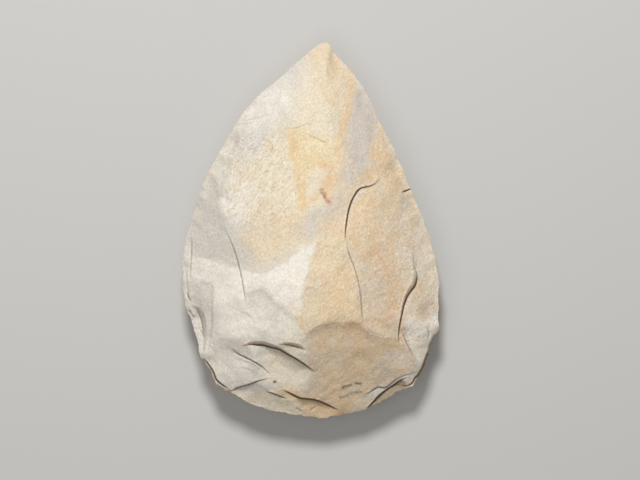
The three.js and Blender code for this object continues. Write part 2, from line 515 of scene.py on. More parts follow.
@dataclass(frozen=True)
class Area:
    """An area with a soft border: a streak along its route if it has a width, or else what it encloses."""

    route: Route
    strength: float = 1.0
    soft: float = 2.0
    width: float = 0.0

    line_step: ClassVar[float] = 0.8
    fine_width: ClassVar[float] = 0.45

    @property
    def fine(self) -> bool:
        """Whether it is a streak so narrow that it needs a fine mesh."""
        return 0 < self.width < self.fine_width

    def over(self, places: Places) -> Values:
        """The area's strength.

        Args:
            places: Where it is wanted.

        Returns:
            How strong it is at each place, from 0 to 1.
        """
        filled = self.width == 0
        line = drawn_through(self.route, self.line_step, closed=filled)
        margin = self.width + self.soft + 1
        low, high = line.min(0) - margin, line.max(0) + margin
        near = np.flatnonzero(((places > low) & (places < high)).all(1))
        chosen = places[near]
        away = np.sqrt(((chosen[:, None, :] - line[None, :, :]) ** 2).sum(2).min(1))
        if filled:
            away = np.where(self._holds(line, chosen), away, -away)
        else:
            away = self.width - away
        strong = np.zeros(len(places))
        strong[near] = self.strength * smooth_step(0.5 + away / (2 * self.soft))
        return strong

    @staticmethod
    def _holds(line: Places, chosen: Places) -> Choice:
        """Tells which places a closed line holds.

        Args:
            line: The line's points, in order.
            chosen: The places.

        Returns:
            Whether each of them is inside the line.
        """
        x, y = chosen[:, None, 0], chosen[:, None, 1]
        x1, y1 = line[None, :, 0], line[None, :, 1]
        x2, y2 = np.roll(line[:, 0], -1)[None, :], np.roll(line[:, 1], -1)[None, :]
        spans = (y1 > y) != (y2 > y)
        rise = np.where(spans, y2 - y1, 1)
        return (spans & (x < x1 + (x2 - x1) * (y - y1) / rise)).sum(1) % 2 == 1


Stains = dict[Tint, list[Area]]


def strongest(areas: list[Area], places: Places, least: float = 0.0) -> Values:
    """Lays areas over each other, of which the strongest counts at each place.

    Args:
        areas: The areas.
        places: Where they are wanted.
        least: What every place has at least.

    Returns:
        The strength at each place.
    """
    strong = np.full(len(places), least)
    for area in areas:
        strong = np.maximum(strong, area.over(places))
    return strong


# ---- The two faces ----

@dataclass(frozen=True)
class Roughness:
    """The relief of broken stone: swells, dishes, pits, plates and grit, each with its size and depth."""

    swell: Pair = (13.0, 0.40)
    dish: Pair = (8.0, 0.40)
    pit: Pair = (3.0, 0.16)
    plate: Pair = (11.0, 0.80)
    plate_levels: int = 6
    grit: Pair = (1.5, 0.07)
    bend: Pair = (7.0, 1.6)
    dish_level: float = 0.3

    def depth(self, places: Places, seed: float) -> Values:
        """The depth of the relief.

        Args:
            places: Where it is wanted.
            seed: Another number gives another piece of the same stone.

        Returns:
            How deep it is at each place.
        """
        size, far = self.bend
        bent = wandered(places, far, size, 2, (seed + 3.1, seed + 4.4))
        swell = self.swell[1] * lumps(places, self.swell[0], 2, seed + 1.3)
        dishes = self.dish[1] * (self.dish_level - dimples(bent, self.dish[0], seed + 2.0))
        pits = self.pit[1] * (self.dish_level - dimples(bent, self.pit[0], seed + 6.0))
        scales = self.plate[1] * (0.5 - plates(bent, self.plate[0], self.plate_levels, seed + 5.9))
        grit = self.grit[1] * lumps(places, self.grit[0], 3, seed + 9.2)
        return swell + dishes + pits + scales + grit


@dataclass
class Face:
    """One face of the stone: domes whose peaks stand side by side along its crest, less what was struck off.

    The shoulder is how much the butt's edge is thickened, close inside it. Sparry areas are coarse and glint
    with small crystals. The edge half is half the edge's own thickness.
    """

    crest: tuple[Place, Place]
    rise: float
    scars: list[Scar]
    brinks: list[Brink]
    stains: Stains
    retouch: list[Scar]
    sparry: list[Area] = field(default_factory=list)
    least_sparry: float = 0.0
    # Whether the steps' top edges are painted pale: partly battered stone, partly a painted highlight.
    crushed_and_highlit: bool = True
    roughness: Roughness = Roughness()
    seed: float = 0.0
    fullness: float = 1.85
    crest_steps: int = 6
    rim_fade: float = 3.0
    calm_rim: float = 0.9
    edge_half: float = 0.12
    shoulder: float = 0.0
    shoulder_span: Pair = (1.3, 9.0)
    butt_from: float = 20.0
    butt_within: float = 60.0

    def peaks(self) -> Places:
        """The peaks of the domes."""
        return np.linspace(*self.crest, self.crest_steps)

    def height(self, outline: Outline, places: Places) -> Values:
        """The face with its dished scars and no finer relief.

        Args:
            outline: The stone's outline.
            places: Where it is wanted.

        Returns:
            Its height over the edge at each place.
        """
        dome, room = np.zeros(len(places)), np.full(len(places), np.inf)
        for peak in self.peaks():
            away, far = outline.reach(peak, places)
            dome += self.rise / self.crest_steps * (1 - np.minimum(away / far, 1) ** self.fullness)
            room = np.minimum(room, far - away)
        fade = 1 - np.exp(-np.maximum(room, 0) / self.rim_fade)
        return dome - fade * flaked(self.scars, places)

    def finished(self, outline: Outline, places: Places) -> Values:
        """The face with everything on it.

        Args:
            outline: The stone's outline.
            places: Where it is wanted.

        Returns:
            Its height over the edge at each place.
        """
        room = outline.room(places)
        butt = smooth_step((self.butt_from - places[:, 1]) / self.butt_within)
        start, end = self.shoulder_span
        shoulder = self.shoulder * butt * (np.exp(-room / end) - np.exp(-room / start))
        lowered = flaked(self.retouch, places)
        for brink in self.brinks:
            lowered += brink.lowering(places)
            log.debug("cut %s", brink.name)
        calm = 1 - np.exp(-room / self.calm_rim)
        cut = self.height(outline, places) + shoulder - calm * (lowered + self.relief(places))
        return np.maximum(cut, 0) + self.edge_half

    def relief(self, places: Places) -> Values:
        """How deep the roughness of the broken stone is at each place."""
        return self.roughness.depth(places, self.seed)

    def soiled_and_shaded(self, places: Places) -> Values:
        """The dark brown painted along the steps' feet and walls: partly settled grime, partly painted shade.

        Args:
            places: Where it is wanted.

        Returns:
            How much of it there is at each place, from 0 to 1.
        """
        dirt_and_shade = np.zeros(len(places))
        for brink in self.brinks:
            dirt_and_shade = np.maximum(dirt_and_shade, brink.soiled_and_shaded(places))
        return dirt_and_shade

    def bruised_and_highlit(self, places: Places) -> Values:
        """The pale bands painted along the steps' top edges: partly battered stone, partly painted
        highlights.

        Args:
            places: Where it is wanted.

        Returns:
            How much each place is paled, from 0 to 1.
        """
        pale = np.zeros(len(places))
        for brink in self.brinks if self.crushed_and_highlit else []:
            if not brink.rounded:
                pale = np.maximum(pale, brink.bruised_and_highlit(places))
        return pale


@dataclass
class Crown(Face):
    """The upper face, with the coarse streaky patch where the stone tore along its grain."""

    torn_at: Place = (-25.0, 20.0)
    torn_size: Pair = (21.0, 10.0)
    torn_heading: float = 58.0
    torn_border: float = 1.6
    torn_stretch: float = 4.0
    torn_streak: Pair = (2.4, 0.40)
    torn_plate: Pair = (4.0, 1.00)
    torn_levels: int = 5

    def relief(self, places: Places) -> Values:
        """The face's roughness, deeper and drawn out along the grain in the torn patch.

        Args:
            places: Where it is wanted.

        Returns:
            How deep it is at each place.
        """
        along, across = turned(places - self.torn_at, self.torn_heading).T
        torn = smooth_step(self.torn_border - np.hypot(along / self.torn_size[0], across / self.torn_size[1]))
        drawn = np.column_stack([along / self.torn_stretch, across])
        streaks = self.torn_streak[1] * lumps(drawn, self.torn_streak[0], 3, 2.2)
        scales = self.torn_plate[1] * (0.5 - plates(drawn, self.torn_plate[0], self.torn_levels, 12.0))
        return super().relief(places) + torn * (streaks + scales)


def crown_scars() -> list[Scar]:
    """The upper face's flake scars."""
    return [
        Scar(14, -54, 19, 21, 90, 2.6),
        Scar(32, -57, 15.5, 15, 115, 2.2),
        Scar(28.5, -11, 31, 13.5, 92, 1.5, ripple=0.03),
        Scar(48, -22, 31, 8.5, 95, 1.6, ripple=0.02),
        Scar(37, 28, 26, 9, 118, 0.9, ripple=0.02),
        Scar(21, 37, 27, 9.5, 110, 1.1, ripple=0.02),
        Scar(12, 63, 10, 7, 235, 0.5),
        Scar(-4, 61, 12, 9, 320, 0.8),
        Scar(-22, 43, 19, 14, 310, 0.9),
        Scar(-44, 5, 29, 9.5, 95, 1.2, ripple=0.02),
        Scar(-38, -15, 19, 12, 10, 1.3, ripple=0.02),
        Scar(-19, -38, 16, 18, 60, 0.9),
        Scar(-12, -55, 11, 15, 75, 2.4),
        Scar(-33, -54, 12, 13, 50, 1.9),
        Scar(-24, -67, 6, 12, 65, 1.4),
        Scar(2, -71, 5, 15, 88, 1.3),
        Scar(-46, -38, 13, 5, 95, 1.5, ripple=0.02),
        Scar(-8, 22, 24, 15, 90, 0.8, soft=True),
        Scar(12, 6, 20, 12, 60, 0.7, soft=True),
        Scar(43, -52.5, 17, 13, 60, -2.1, soft=True),
        Scar(-12, -8, 16, 14, 20, 0.5, soft=True),
    ]


def crown_brinks() -> list[Brink]:
    """The upper face's steps, cracks and arrises."""
    return [
        Brink("left_step", ((-35.5, 3.5), (-32.5, -2), (-30, -8), (-28.2, -14), (-26.8, -20.5), (-26, -25),
              (-25.3, -29.5)), (0.34, 0.47, 0.68, 0.68), reach=6.0, groove=0.3, soil=0.45),
        Brink("shoulder_step", ((13.6, -6), (13.6, -1), (14, 3.2), (15, 8.8), (16.8, 13.6), (19.5, 16.9),
              (24.2, 18.2), (26.7, 20), (28.7, 22.3)), (0.6, 1.1, 1.2, 0.9, 0.5),
              walls=(0.4, 0.4, 0.5, 0.7, 0.6, 0.4), reach=9.0, groove=0.25, soil=1.0, stained_wall=0.3),
        Brink("blade_step", ((21, -39), (20.5, -35.8), (20, -30.8), (19.5, -24.8), (18.5, -19.3),
              (17, -14.3), (14.6, -8), (14, -2)), (0.5, 0.5, 0.42, 0.4), walls=(0.45,), reach=7.0,
              groove=0.12, soil=0.45),
        Brink("margin_step", ((35.3, -46.3), (34.8, -42.6), (34.9, -39.8), (35.3, -36.4), (35.9, -33.1),
              (36.5, -29.8), (37.2, -27), (38, -24.8), (39.2, -22.3), (40.3, -20.2), (40.9, -17),
              (40.8, -13), (40.6, -5)), (0.9, 1.5, 2.0, 1.9, 0.5, 0.3),
              walls=(0.4, 0.4, 0.5, 0.6, 0.8, 1.3, 2.2, 1.9, 0.5, 0.4, 0.4), reach=8.0, groove=0.4, soil=1.0,
              stained_wall=0.6),
        Brink("margin_fan", ((42.6, -52.7), (40.4, -49.3), (38.4, -45.6), (36.7, -41.7), (35.6, -39.4)),
              (0.5, 0.7, 0.8), walls=(0.45,), reach=6.0, groove=0.2, soil=0.4),
        Brink("margin_cracks", ((46.3, -44.5), (47, -41.5), (46.4, -38.5), (47.6, -37)), (0.3, 0.3),
              reach=1.5, groove=0.2, soil=0.4),
        Brink("nick", ((36.2, 15.2), (37.2, 15.9), (38.6, 16.4), (40.6, 17.4)), (0.6, 0.9, 0.8),
              walls=(0.5,), reach=1.6, groove=0.3, soil=0.9),
        Brink("nick_scar", ((25, 27.5), (29.5, 25.8), (34, 24), (37.2, 20.5), (38.6, 17.5)),
              (0.3, 0.5, 0.5, 0.4), walls=(1.5,), reach=5.0, soil=0.1, rounded=True),
        Brink("great_hinge", ((-27.2, -46), (-24.5, -44.4), (-22.2, -43.8), (-19.2, -43.8), (-15.7, -44.8),
              (-12.2, -46.1), (-8.7, -48.6), (-3.8, -51.7), (2.3, -56.3)), (1.7, 2.7, 2.6, 2.2, 1.7),
              walls=(0.4, 2.0, 1.6, 0.8, 0.5, 0.4), reach=14.0, groove=0.35, soil=1.0, stained_wall=0.6),
        Brink("great_hinge_foot", ((-20, -45), (-16, -45.9), (-12.4, -47), (-8.9, -49.4), (-4, -52.5),
              (1, -56)), (0.7, 1.3, 1.4, 1.1), walls=(5.0,), reach=9.0, rounded=True),
        Brink("second_hinge", ((-13.4, -45.4), (-10.2, -44.5), (-7.2, -44.5), (-4.2, -45.3), (-1.4, -47.4)),
              (1.0, 1.8, 1.6), walls=(0.5, 1.3, 1.7, 0.8), reach=7.0, groove=0.05, soil=0.42,
              stained_wall=1.0, above=0.4),
        Brink("slant_crack", ((-31.8, -46.2), (-29.2, -48.5), (-26.2, -50), (-22.2, -52), (-19.2, -54),
              (-16.2, -56.8), (-14.9, -57.9)), (0.5, 0.6, 0.7, 0.6, 0.3), reach=5.0, groove=0.3, soil=0.6),
        Brink("lower_left_ledge", ((-32.6, -63.6), (-31, -63.7), (-29.7, -62.8), (-26.7, -61.8),
              (-24.2, -61), (-21.2, -59.8), (-17.2, -58.8), (-14.9, -58.2)), (0.9, 1.3, 1.5, 1.0, 0.6, 0.3),
              reach=7.0, groove=0.3, soil=0.7),
        Brink("low_crack", ((-18.2, -64), (-15.2, -64.6), (-11.7, -66), (-9.2, -67.1)), (0.8, 1.2, 0.9),
              reach=6.0, groove=0.3, soil=0.7),
        Brink("butt_crack", ((-11.9, -63), (-9.2, -64), (-6.2, -65.5), (-3.7, -66.5), (-0.2, -66.9),
              (2.8, -67.5), (6.3, -69), (9.8, -70.8), (12, -71.9)), (1.1, 1.6, 1.6, 1.1), walls=(0.6,),
              reach=8.0, groove=0.4, soil=1.0, stained_wall=0.8),
        Brink("first_ledge", ((21.6, -65.5), (23.5, -64.5), (26.5, -62.5), (29.8, -62.6), (31.5, -61.5),
              (33.8, -59.5), (36.5, -58), (39.8, -57.1), (42, -56.3)), (0.7, 0.9, 0.8, 0.4, 0.3), groove=0.2,
              soil=0.5),
        Brink("second_ledge", ((21.6, -71.8), (24.8, -68.5), (27.1, -65.8), (30.1, -63.5), (33.1, -61.5),
              (35.8, -59.5), (38.8, -58.3)), (1.5, 2.2, 2.2, 1.8, 1.2), walls=(0.6,), reach=20.0, groove=0.3,
              soil=1.0),
        Brink("third_ledge", ((36, -61.8), (37.8, -61.9), (39.1, -61.6), (40.5, -60.5), (41.5, -58.5),
              (42.8, -57.3), (44.5, -53.8), (45.5, -50.8), (47.1, -47.1), (48.4, -44)),
              (0.8, 1.4, 2.0, 2.0, 1.8, 1.6), walls=(0.5, 0.7, 1.0, 1.0, 0.8), reach=12.0, groove=0.3,
              soil=1.0, stained_wall=0.8),
        Brink("left_margin_hinge", ((-47.8, -30), (-46, -30.2), (-44, -31.2), (-42.5, -33.2), (-41.7, -36),
              (-41.4, -39.8), (-41.7, -43.8), (-42.3, -47.8), (-43.8, -50.4)), (1.8, 2.9, 2.4, 1.6, 1.0),
              walls=(0.6, 2.4, 2.0, 1.3, 0.8), reach=8.0, groove=0.1, soil=0.4),
        Brink("left_rim_crack", ((-49.2, -30.8), (-47.8, -32.6), (-46.2, -35.1)), (0.4, 0.5), reach=2.0,
              groove=0.2, soil=0.6),
        Brink("left_foot_crack", ((-44.4, -38.8), (-43.2, -40.8), (-42, -43.1)), (0.3, 0.4), reach=2.0,
              groove=0.2, soil=0.5),
        Brink("left_low_rim", ((-43, -50.4), (-40.8, -53.1), (-38.7, -56.2), (-37.5, -59.2), (-35.3, -61.3),
              (-32.4, -63.2)), (1.0, 1.4, 1.6, 1.6, 1.2), walls=(0.5,), reach=4.0, groove=0.3, soil=1.0),
        Brink("left_margin_step", ((-38.7, -21), (-38.6, -26.8), (-38.8, -31.8), (-38.7, -35.8),
              (-39, -39.8), (-39.7, -44.8), (-40.4, -49)), (0.5, 0.9, 0.9, 0.6), walls=(1.1,), reach=7.0,
              soil=0.05),
        Brink("left_nick", ((-49.3, -24), (-48.6, -26.5), (-47.4, -28.5)), (0.54, 0.54), reach=1.5,
              groove=0.3, soil=0.6),
        Brink("left_band", ((-47.6, 1), (-47.2, -6), (-47.4, -12), (-47.8, -20)), (0.6, 1.0, 0.8),
              walls=(0.8,), groove=0.1, soil=0.22),
        Brink("left_flange", ((-49.6, -14), (-49.2, -19), (-48.8, -23), (-47.6, -27)), (0.5, 0.7, 0.5),
              walls=(0.6,), reach=2.0, groove=0.1, soil=0.2),
        Brink("low_hairline", ((-6.4, -70.3), (-4.4, -71.4), (-2.8, -72.6)), (0.25, 0.3), reach=1.2,
              groove=0.2, soil=0.5),
        Brink("butt_hairline", ((2.7, -69.9), (1, -71.2), (-0.5, -72.6)), (0.25, 0.3), reach=1.2, groove=0.2,
              soil=0.5),
        Brink("left_wisp", ((-30, -50.2), (-26.5, -51.6), (-23, -52.8), (-19.5, -55)), (0.25, 0.35, 0.25),
              walls=(0.6,), groove=0.05, soil=0.15),
        Brink("left_lower_wisp", ((-29, -54), (-25, -54.8), (-21.5, -56.6)), (0.2, 0.3, 0.2), walls=(0.6,),
              groove=0.05, soil=0.12),
        Brink("patch_ridge", ((-27, -22.8), (-22.2, -22.4), (-18.5, -22.6), (-16.2, -24.3), (-13.2, -27.3),
              (-9.8, -30.2), (-6.2, -32.5), (-2.8, -34.6)), (0.4, 0.5, 0.35, 0.3), walls=(3.0,), reach=9.0,
              rounded=True),
        Brink("faint_ridge", ((-28.2, -31.6), (-25.5, -32.6), (-22.2, -35.3)), (0.3, 0.35), walls=(0.5,),
              reach=4.0, soil=0.05),
        Brink("fan_arris", ((-2.8, -43.6), (-1, -40.2), (3, -37.8), (8, -36.5), (14, -36.2), (19, -36.8),
              (21.5, -39.2), (25, -41.7), (29, -42.8), (34, -42.6)), (0.4, 0.6, 0.7, 0.6, 0.35),
              walls=(3.0,), reach=14.0, rounded=True),
        Brink("tip_line", ((6.6, 66), (4.6, 62.5), (2, 58.5), (-0.5, 55.6), (-6, 54)), (0.3, 0.4, 0.4, 0.3),
              walls=(0.5,), reach=5.0, groove=0.08, soil=0.15),
        Brink("upper_line", ((-10, 40.8), (-6, 40.8), (-2, 42.3), (1, 43.2)), (0.4, 0.45), reach=4.0,
              groove=0.12, soil=0.25),
        Brink("yellow_line", ((-1.8, 38.6), (1, 37.2), (4, 35.8), (8, 34.2)), (0.3, 0.35, 0.25),
              walls=(0.5,), groove=0.1, soil=0.2),
        Brink("middle_line", ((-3, 39), (1, 37), (6, 35), (10, 31)), (0.2, 0.2), walls=(0.5,), reach=4.0,
              groove=0.08, soil=0.12),
        Brink("left_upper_line", ((-28, 43.8), (-22, 45), (-15, 47.2)), (0.3, 0.4, 0.3), walls=(0.5,),
              reach=5.0, groove=0.06, soil=0.15),
        Brink("left_lower_line", ((-31, 42.6), (-26, 43), (-20, 43.6)), (0.3, 0.3), walls=(0.5,),
              groove=0.06, soil=0.1),
        Brink("torn_line", ((-13.6, 32.5), (-16, 29), (-20.2, 25)), (0.5, 0.6, 0.4), walls=(0.8,), reach=4.0,
              groove=0.1, soil=0.1),
        Brink("torn_foot", ((-18, 37.5), (-15.4, 34.5), (-15, 31.5)), (0.5, 0.4), walls=(1.2,), reach=4.0,
              soil=0.05),
        Brink("tip_nick", ((6.5, 65), (8.5, 62.2), (11.5, 60.2)), (0.3, 0.4), walls=(0.6,), groove=0.1,
              soil=0.2),
        Brink("left_facet", ((-29.5, 41), (-28.6, 37), (-30, 33), (-33, 30.5)), (0.9, 1.3, 0.9),
              walls=(2.0,), reach=6.0, rounded=True),
        Brink("left_facet_below", ((-33, 31), (-32, 27.5), (-34, 24), (-40, 22)), (0.9, 1.3, 0.8),
              walls=(1.4,), reach=6.0, rounded=True),
    ]


def crown_stains() -> Stains:
    """The upper face's stains."""
    return {
        Tint.CREAM: [  # the warm ground of the middle and of the low left
            Area(((4, 72), (16, 60), (14, 44), (12, 28), (12, 8), (16, -10), (20, -38), (2, -37), (-4, -12),
                 (-26, -10), (-30, 8), (-32, 24), (-16, 34), (-8, 50)), 0.85, 6.0),
            Area(((-14, -28), (-5, -33), (-1, -44), (-1, -58), (-6, -64), (-16, -62), (-18, -50),
                 (-10, -40)), 0.6, 3.0),
            Area(((-22, -69), (-20.5, -64.5), (-12, -64.5), (-5, -67), (0, -70), (0, -76), (-14, -73)), 0.9,
                 1.8),
        ],
        Tint.LILAC: [  # the cool band beside the right edge, and cool clouds
            Area(((18, 60), (22.5, 55), (27, 45), (28, 40), (25.5, 33), (21, 27), (14, 29), (13, 36),
                 (14, 44), (16, 52)), 0.9, 1.4),
            Area(((22.5, 33), (20, 25), (16.5, 18), (12.5, 9), (10, 0), (3, -3), (-8, -4), (-10, 2), (2, 8),
                 (7, 12), (9.5, 20), (12.5, 30)), 0.55, 2.0),
            Area(((26, -45), (36, -46), (42, -54), (34, -60), (24, -60)), 0.5, 4.0),
            Area(((21, -14), (27, -18), (29, -30), (25, -33), (20.5, -26)), 0.8, 2.5),
            Area(((35, 3), (43, 2), (49, -10), (51, -22), (45, -20), (41, -10)), 0.6, 2.5),
            Area(((24, -69.6), (27, -66.8), (30.5, -64.4), (35, -61.4), (40, -59.8)), 0.7, 1.2, 1.2),
            Area(((-7, -72), (-2, -73), (3, -73.4)), 0.8, 1.2, 0.8),
        ],
        Tint.GREY: [  # the left side
            Area(((-44, 20), (-35, 17), (-34, 8), (-30, -4), (-27.5, -15), (-35, -12), (-41, -11), (-47, -8),
                 (-52, -4), (-52, 8)), 0.9, 2.5),
            Area(((-26, -22.6), (-18.5, -22.6), (-13, -27.3), (-7, -32), (-3, -38), (-8, -37), (-18, -33),
                 (-26, -30)), 0.15, 1.2),
            Area(((-33, 6), (-26, 5), (-20, 0), (-21, -8), (-25, -16), (-30, -8)), 0.6, 2.5),
            Area(((-45, -20), (-40, -20), (-39, -30), (-45, -32)), 0.5, 2.0),
        ],
        Tint.CHALK: [  # the white patches low on the left and on the right margin, and paler ground
            Area(((-21, -26), (-15, -29), (-8, -34.5), (-4, -38), (-6, -42.5), (-14, -42.5), (-22, -41),
                 (-16, -36), (-20, -31)), 0.5, 2.0),
            Area(((2.5, -5.5), (-4, -7.5), (-8, -11), (-14, -15), (-20, -17.5), (-27.3, -16), (-26.2, -23.4),
                 (-19.2, -23.2), (-13.9, -27.9), (-8.7, -31.9), (-3.5, -33.6), (-3, -26), (-1, -14)), 1.0,
                 0.9),
            Area(((-48, -11), (-41, -11.5), (-36, -13.5), (-28, -16), (-26, -29), (-36, -30), (-39, -21),
                 (-47, -19)), 0.75, 0.9),
            Area(((-33, 20), (-27, 22), (-22, 14), (-24, 5), (-30, 3), (-34, 9)), 0.5, 3.0),
            Area(((28, -49), (36, -48), (41, -54), (38, -58.5), (31, -61.5), (27, -60)), 0.5, 2.5),
            Area(((-30, 6), (-26, 8), (-31, 12), (-36, 12), (-34, 6)), 0.7, 2.0),
            Area(((-26, 46), (-19, 56), (-11, 58), (-8, 52), (-14, 44), (-22, 42)), 0.5, 4.0),
            Area(((-21, -69.5), (-20.4, -65.8), (-16.5, -64), (-10, -66.6), (-5, -68.6), (-4, -70.6),
                 (-10, -71.4), (-16, -71.2)), 0.7, 0.7),
            Area(((-4, -69), (2, -70), (8, -72), (2, -72.6), (-4, -71.4)), 0.6, 1.0),
            Area(((38.5, -34.5), (46, -33.5), (50, -34.5), (49.5, -40), (46.5, -48), (43.5, -53), (39, -44)),
                 1.0, 0.8),
            Area(((41, 0), (46, -2), (51, -16), (52, -26), (48, -32), (43, -26), (42, -14)), 0.95, 1.6),
            Area(((-44, -40), (-36, -44), (-30, -50), (-22, -58), (-26, -62), (-32, -61), (-38, -58)), 0.65,
                 2.5),
            Area(((-37, -24), (-28, -26), (-14, -36), (-20, -41), (-36, -40)), 0.8, 3.0),
        ],
        Tint.BUFF: [  # the tan panel in the middle, the tip, the right margin and the butt
            Area(((12, 72), (18, 64), (15, 40), (16, 20), (16, -6), (12, -8), (8, 16), (11, 40), (13, 60)),
                 0.5, 2.5),
            Area(((-28, 20), (-24, 12), (-12, 10), (-4, 5), (-5, -5), (-12, -12), (-22, -13), (-24, -5),
                 (-24, 4)), 0.5, 4.0),
            Area(((3, -5), (13.5, -6), (18, -16), (20, -30), (20.5, -38), (9, -36), (0, -39), (-4, -36),
                 (-3, -28), (-1, -16)), 0.85, 1.8),
            Area(((38, 22), (46, 5), (52, -12), (53, -30), (49, -34), (38, -34), (41, -24), (42, -10),
                 (40, 5)), 0.5, 2.0),
            Area(((-2, -66), (10, -70), (20, -66), (30, -66), (42, -58), (46, -53), (50, -56), (30, -74),
                 (4, -80), (0, -74)), 0.7, 2.5),
            Area(((-36, -62), (-28, -64), (-20, -67), (-26, -72), (-38, -66)), 0.4, 2.0),
            Area(((-2, 72), (8, 76), (14, 68), (17, 60), (14, 50), (5, 50), (1, 64)), 0.6, 3.0),
            Area(((38, -34.5), (46, -33), (53, -33), (52, -41), (47.5, -50), (43.5, -56), (38.5, -44)), 0.22,
                 1.0),
            Area(((-35, 38), (-38, 30), (-43, 19)), 0.5, 2.0, 1.2),
        ],
        Tint.OCHRE: [  # the right side, and the seams along the borders of the patches
            Area(((12.6, -4), (12.8, 3), (14.2, 9), (16.5, 14), (20, 17.5), (25, 20)), 0.6, 1.6, 1.2),
            Area(((3, 28), (8, 28.5), (11.5, 24), (9, 17), (5.5, 16), (5, 22)), 0.7, 1.8),
            Area(((4, -4), (12, -4), (12, 4), (4, 4)), 0.4, 3.0),
            Area(((16, 15), (20, 20), (26, 24), (28, 20), (22, 17)), 0.8, 1.5),
            Area(((28, 43), (34, 33), (40, 18), (42, 5), (42, -12), (42, -20), (37, -32), (35, -42),
                 (21, -41), (19.5, -26), (15, -8), (14, 2), (16, 12), (20, 17), (22.5, 26)), 0.45, 2.0),
            Area(((28, 43), (32, 33), (36, 18), (35, 6), (34, -6), (37, -14), (40, -20), (36, -32),
                 (34, -41), (22, -40), (24, -36), (29, -32), (30, -24), (27, -15), (19, -12), (16, -6),
                 (15, 2), (17, 12), (21, 17), (23, 26)), 0.7, 2.5),
            Area(((10, -13), (7, -22), (4, -34), (12, -36), (18, -36), (18, -24), (14, -10)), 0.6, 3.0),
            Area(((-7.6, 39.5), (-7, 34), (-6.2, 27), (-4.6, 20), (-3.6, 14), (-3, 9)), 1.0, 1.8, 1.1),
            Area(((-3, 10), (1, 12.5), (5, 17)), 0.8, 1.6, 0.9),
            Area(((-6, 24), (-1, 27), (4, 26)), 0.3, 1.5, 0.8),
            Area(((17, 63), (16.5, 55), (14, 46), (11.8, 38), (11.5, 30), (9.5, 22), (6.5, 14)), 0.9, 2.0,
                 1.2),
            Area(((28.5, 43), (25.5, 34), (23, 26), (20.5, 19)), 0.8, 1.8, 0.9),
            Area(((-14, 4), (-6, 5), (2, 12), (6, 15)), 0.4, 2.2, 0.9),
            Area(((34.5, -44), (35, -36), (36.5, -29), (38, -24.5), (40, -20)), 0.7, 1.2, 0.9),
            Area(((-8, -63.5), (-3, -66), (3, -67), (8, -69), (12, -71)), 0.9, 2.0, 1.2),
            Area(((15, -37), (22, -38), (22, -47), (16, -50)), 0.5, 3.0),
            Area(((-3, -67.5), (3, -68.5), (8, -67), (18, -66), (12, -75), (-1, -75)), 0.8, 1.8),
            Area(((-8, -28), (-4.5, -33), (-3.4, -38)), 0.5, 1.5, 1.0),
            Area(((-17.5, 37), (-15, 31)), 0.5, 1.8, 0.8),
            Area(((-26, -3), (-18, -8), (-10, 2)), 0.25, 3.0, 1.5),
        ],
        Tint.YELLOW: [  # the panel above the middle
            Area(((-8.5, 41), (-4, 41), (2, 38.5), (7, 36), (10.5, 31), (7, 27), (0, 24), (-1, 16),
                 (-2.5, 9), (-4.5, 12), (-5.5, 20), (-7.5, 30)), 0.65, 2.2),
            Area(((-21, -69.5), (-20.4, -65.8), (-16.5, -64), (-10, -66.6), (-5, -68.6), (-4, -70.6),
                 (-10, -71.4), (-16, -71.2)), 0.3, 0.7),
        ],
        Tint.ROSE: [  # pink seams, and clouds on the right
            Area(((10, 2), (15, -2), (18, 4)), 0.3, 3.0, 1.5),
            Area(((2, -41), (8, -38.5), (14, -38), (20, -39.5), (26, -43.5), (34, -46)), 0.7, 2.4, 1.4),
            Area(((-7.2, 37), (-6.4, 28), (-4.8, 20), (-3.6, 13)), 0.3, 1.5, 0.7),
            Area(((5, 26), (7.5, 23), (5.5, 17), (1, 12)), 0.3, 2.0, 0.9),
            Area(((3, 73), (9, 69), (13, 64)), 0.3, 4.0, 2.0),
            Area(((16, 58), (14, 48), (11.8, 40)), 0.35, 1.5, 0.6),
            Area(((15.8, 14), (17.8, 18.6), (21, 22), (25.5, 24.5)), 0.55, 2.0, 1.0),
            Area(((26, -8), (30, -18), (33, -27), (30, -36)), 0.55, 4.0, 2.5),
            Area(((26, 30), (31, 24), (36, 14)), 0.3, 3.0, 1.5),
            Area(((21, -38), (19, -46), (15, -56), (9, -66)), 0.6, 3.5, 2.0),
            Area(((26, -45), (24, -52), (19, -58)), 0.4, 3.0, 1.5),
            Area(((35.9, -44), (36.3, -38), (37.6, -31), (39.6, -25)), 0.6, 1.6, 0.9),
            Area(((17.5, -2), (19, -9), (24, -12), (31, -13)), 0.35, 2.5, 1.2),
            Area(((43, -22), (47, -28), (45, -33)), 0.5, 3.0, 2.0),
            Area(((-4, -70), (4, -71), (12, -72.5)), 0.6, 2.0, 1.2),
            Area(((-9, -64.8), (-4, -67), (2, -68), (8, -70.4)), 0.8, 1.3, 0.6),
            Area(((4.4, 14.6), (6, 12.4), (7.6, 10.8)), 1.0, 1.4, 0.6),
            Area(((17, 25), (20, 22), (25, 23)), 0.4, 2.0, 1.2),
        ],
        Tint.UMBER: [  # the fan struck from the butt, and the feet of two hinges
            Area(((-2.5, -41.6), (0, -38.7), (8, -36.2), (19, -36.7), (24, -41), (30, -42.6), (35.5, -41.4),
                 (42.4, -53), (36, -59), (26, -63), (12, -71.5), (4, -68.5), (-3, -66.5), (-1.5, -63),
                 (0.3, -58), (-1, -48)), 0.58, 0.5),
            Area(((0, -42), (3, -40), (9, -38.4), (18, -39), (23, -43), (31, -45), (30, -49), (26, -54),
                 (22, -60), (13, -68), (3, -66), (1, -62), (2.5, -58), (1.5, -48)), 0.78, 2.5),
            Area(((-12, -63.8), (-6, -66.2), (0, -67.7), (6, -69.6)), 1.0, 1.4, 1.0),
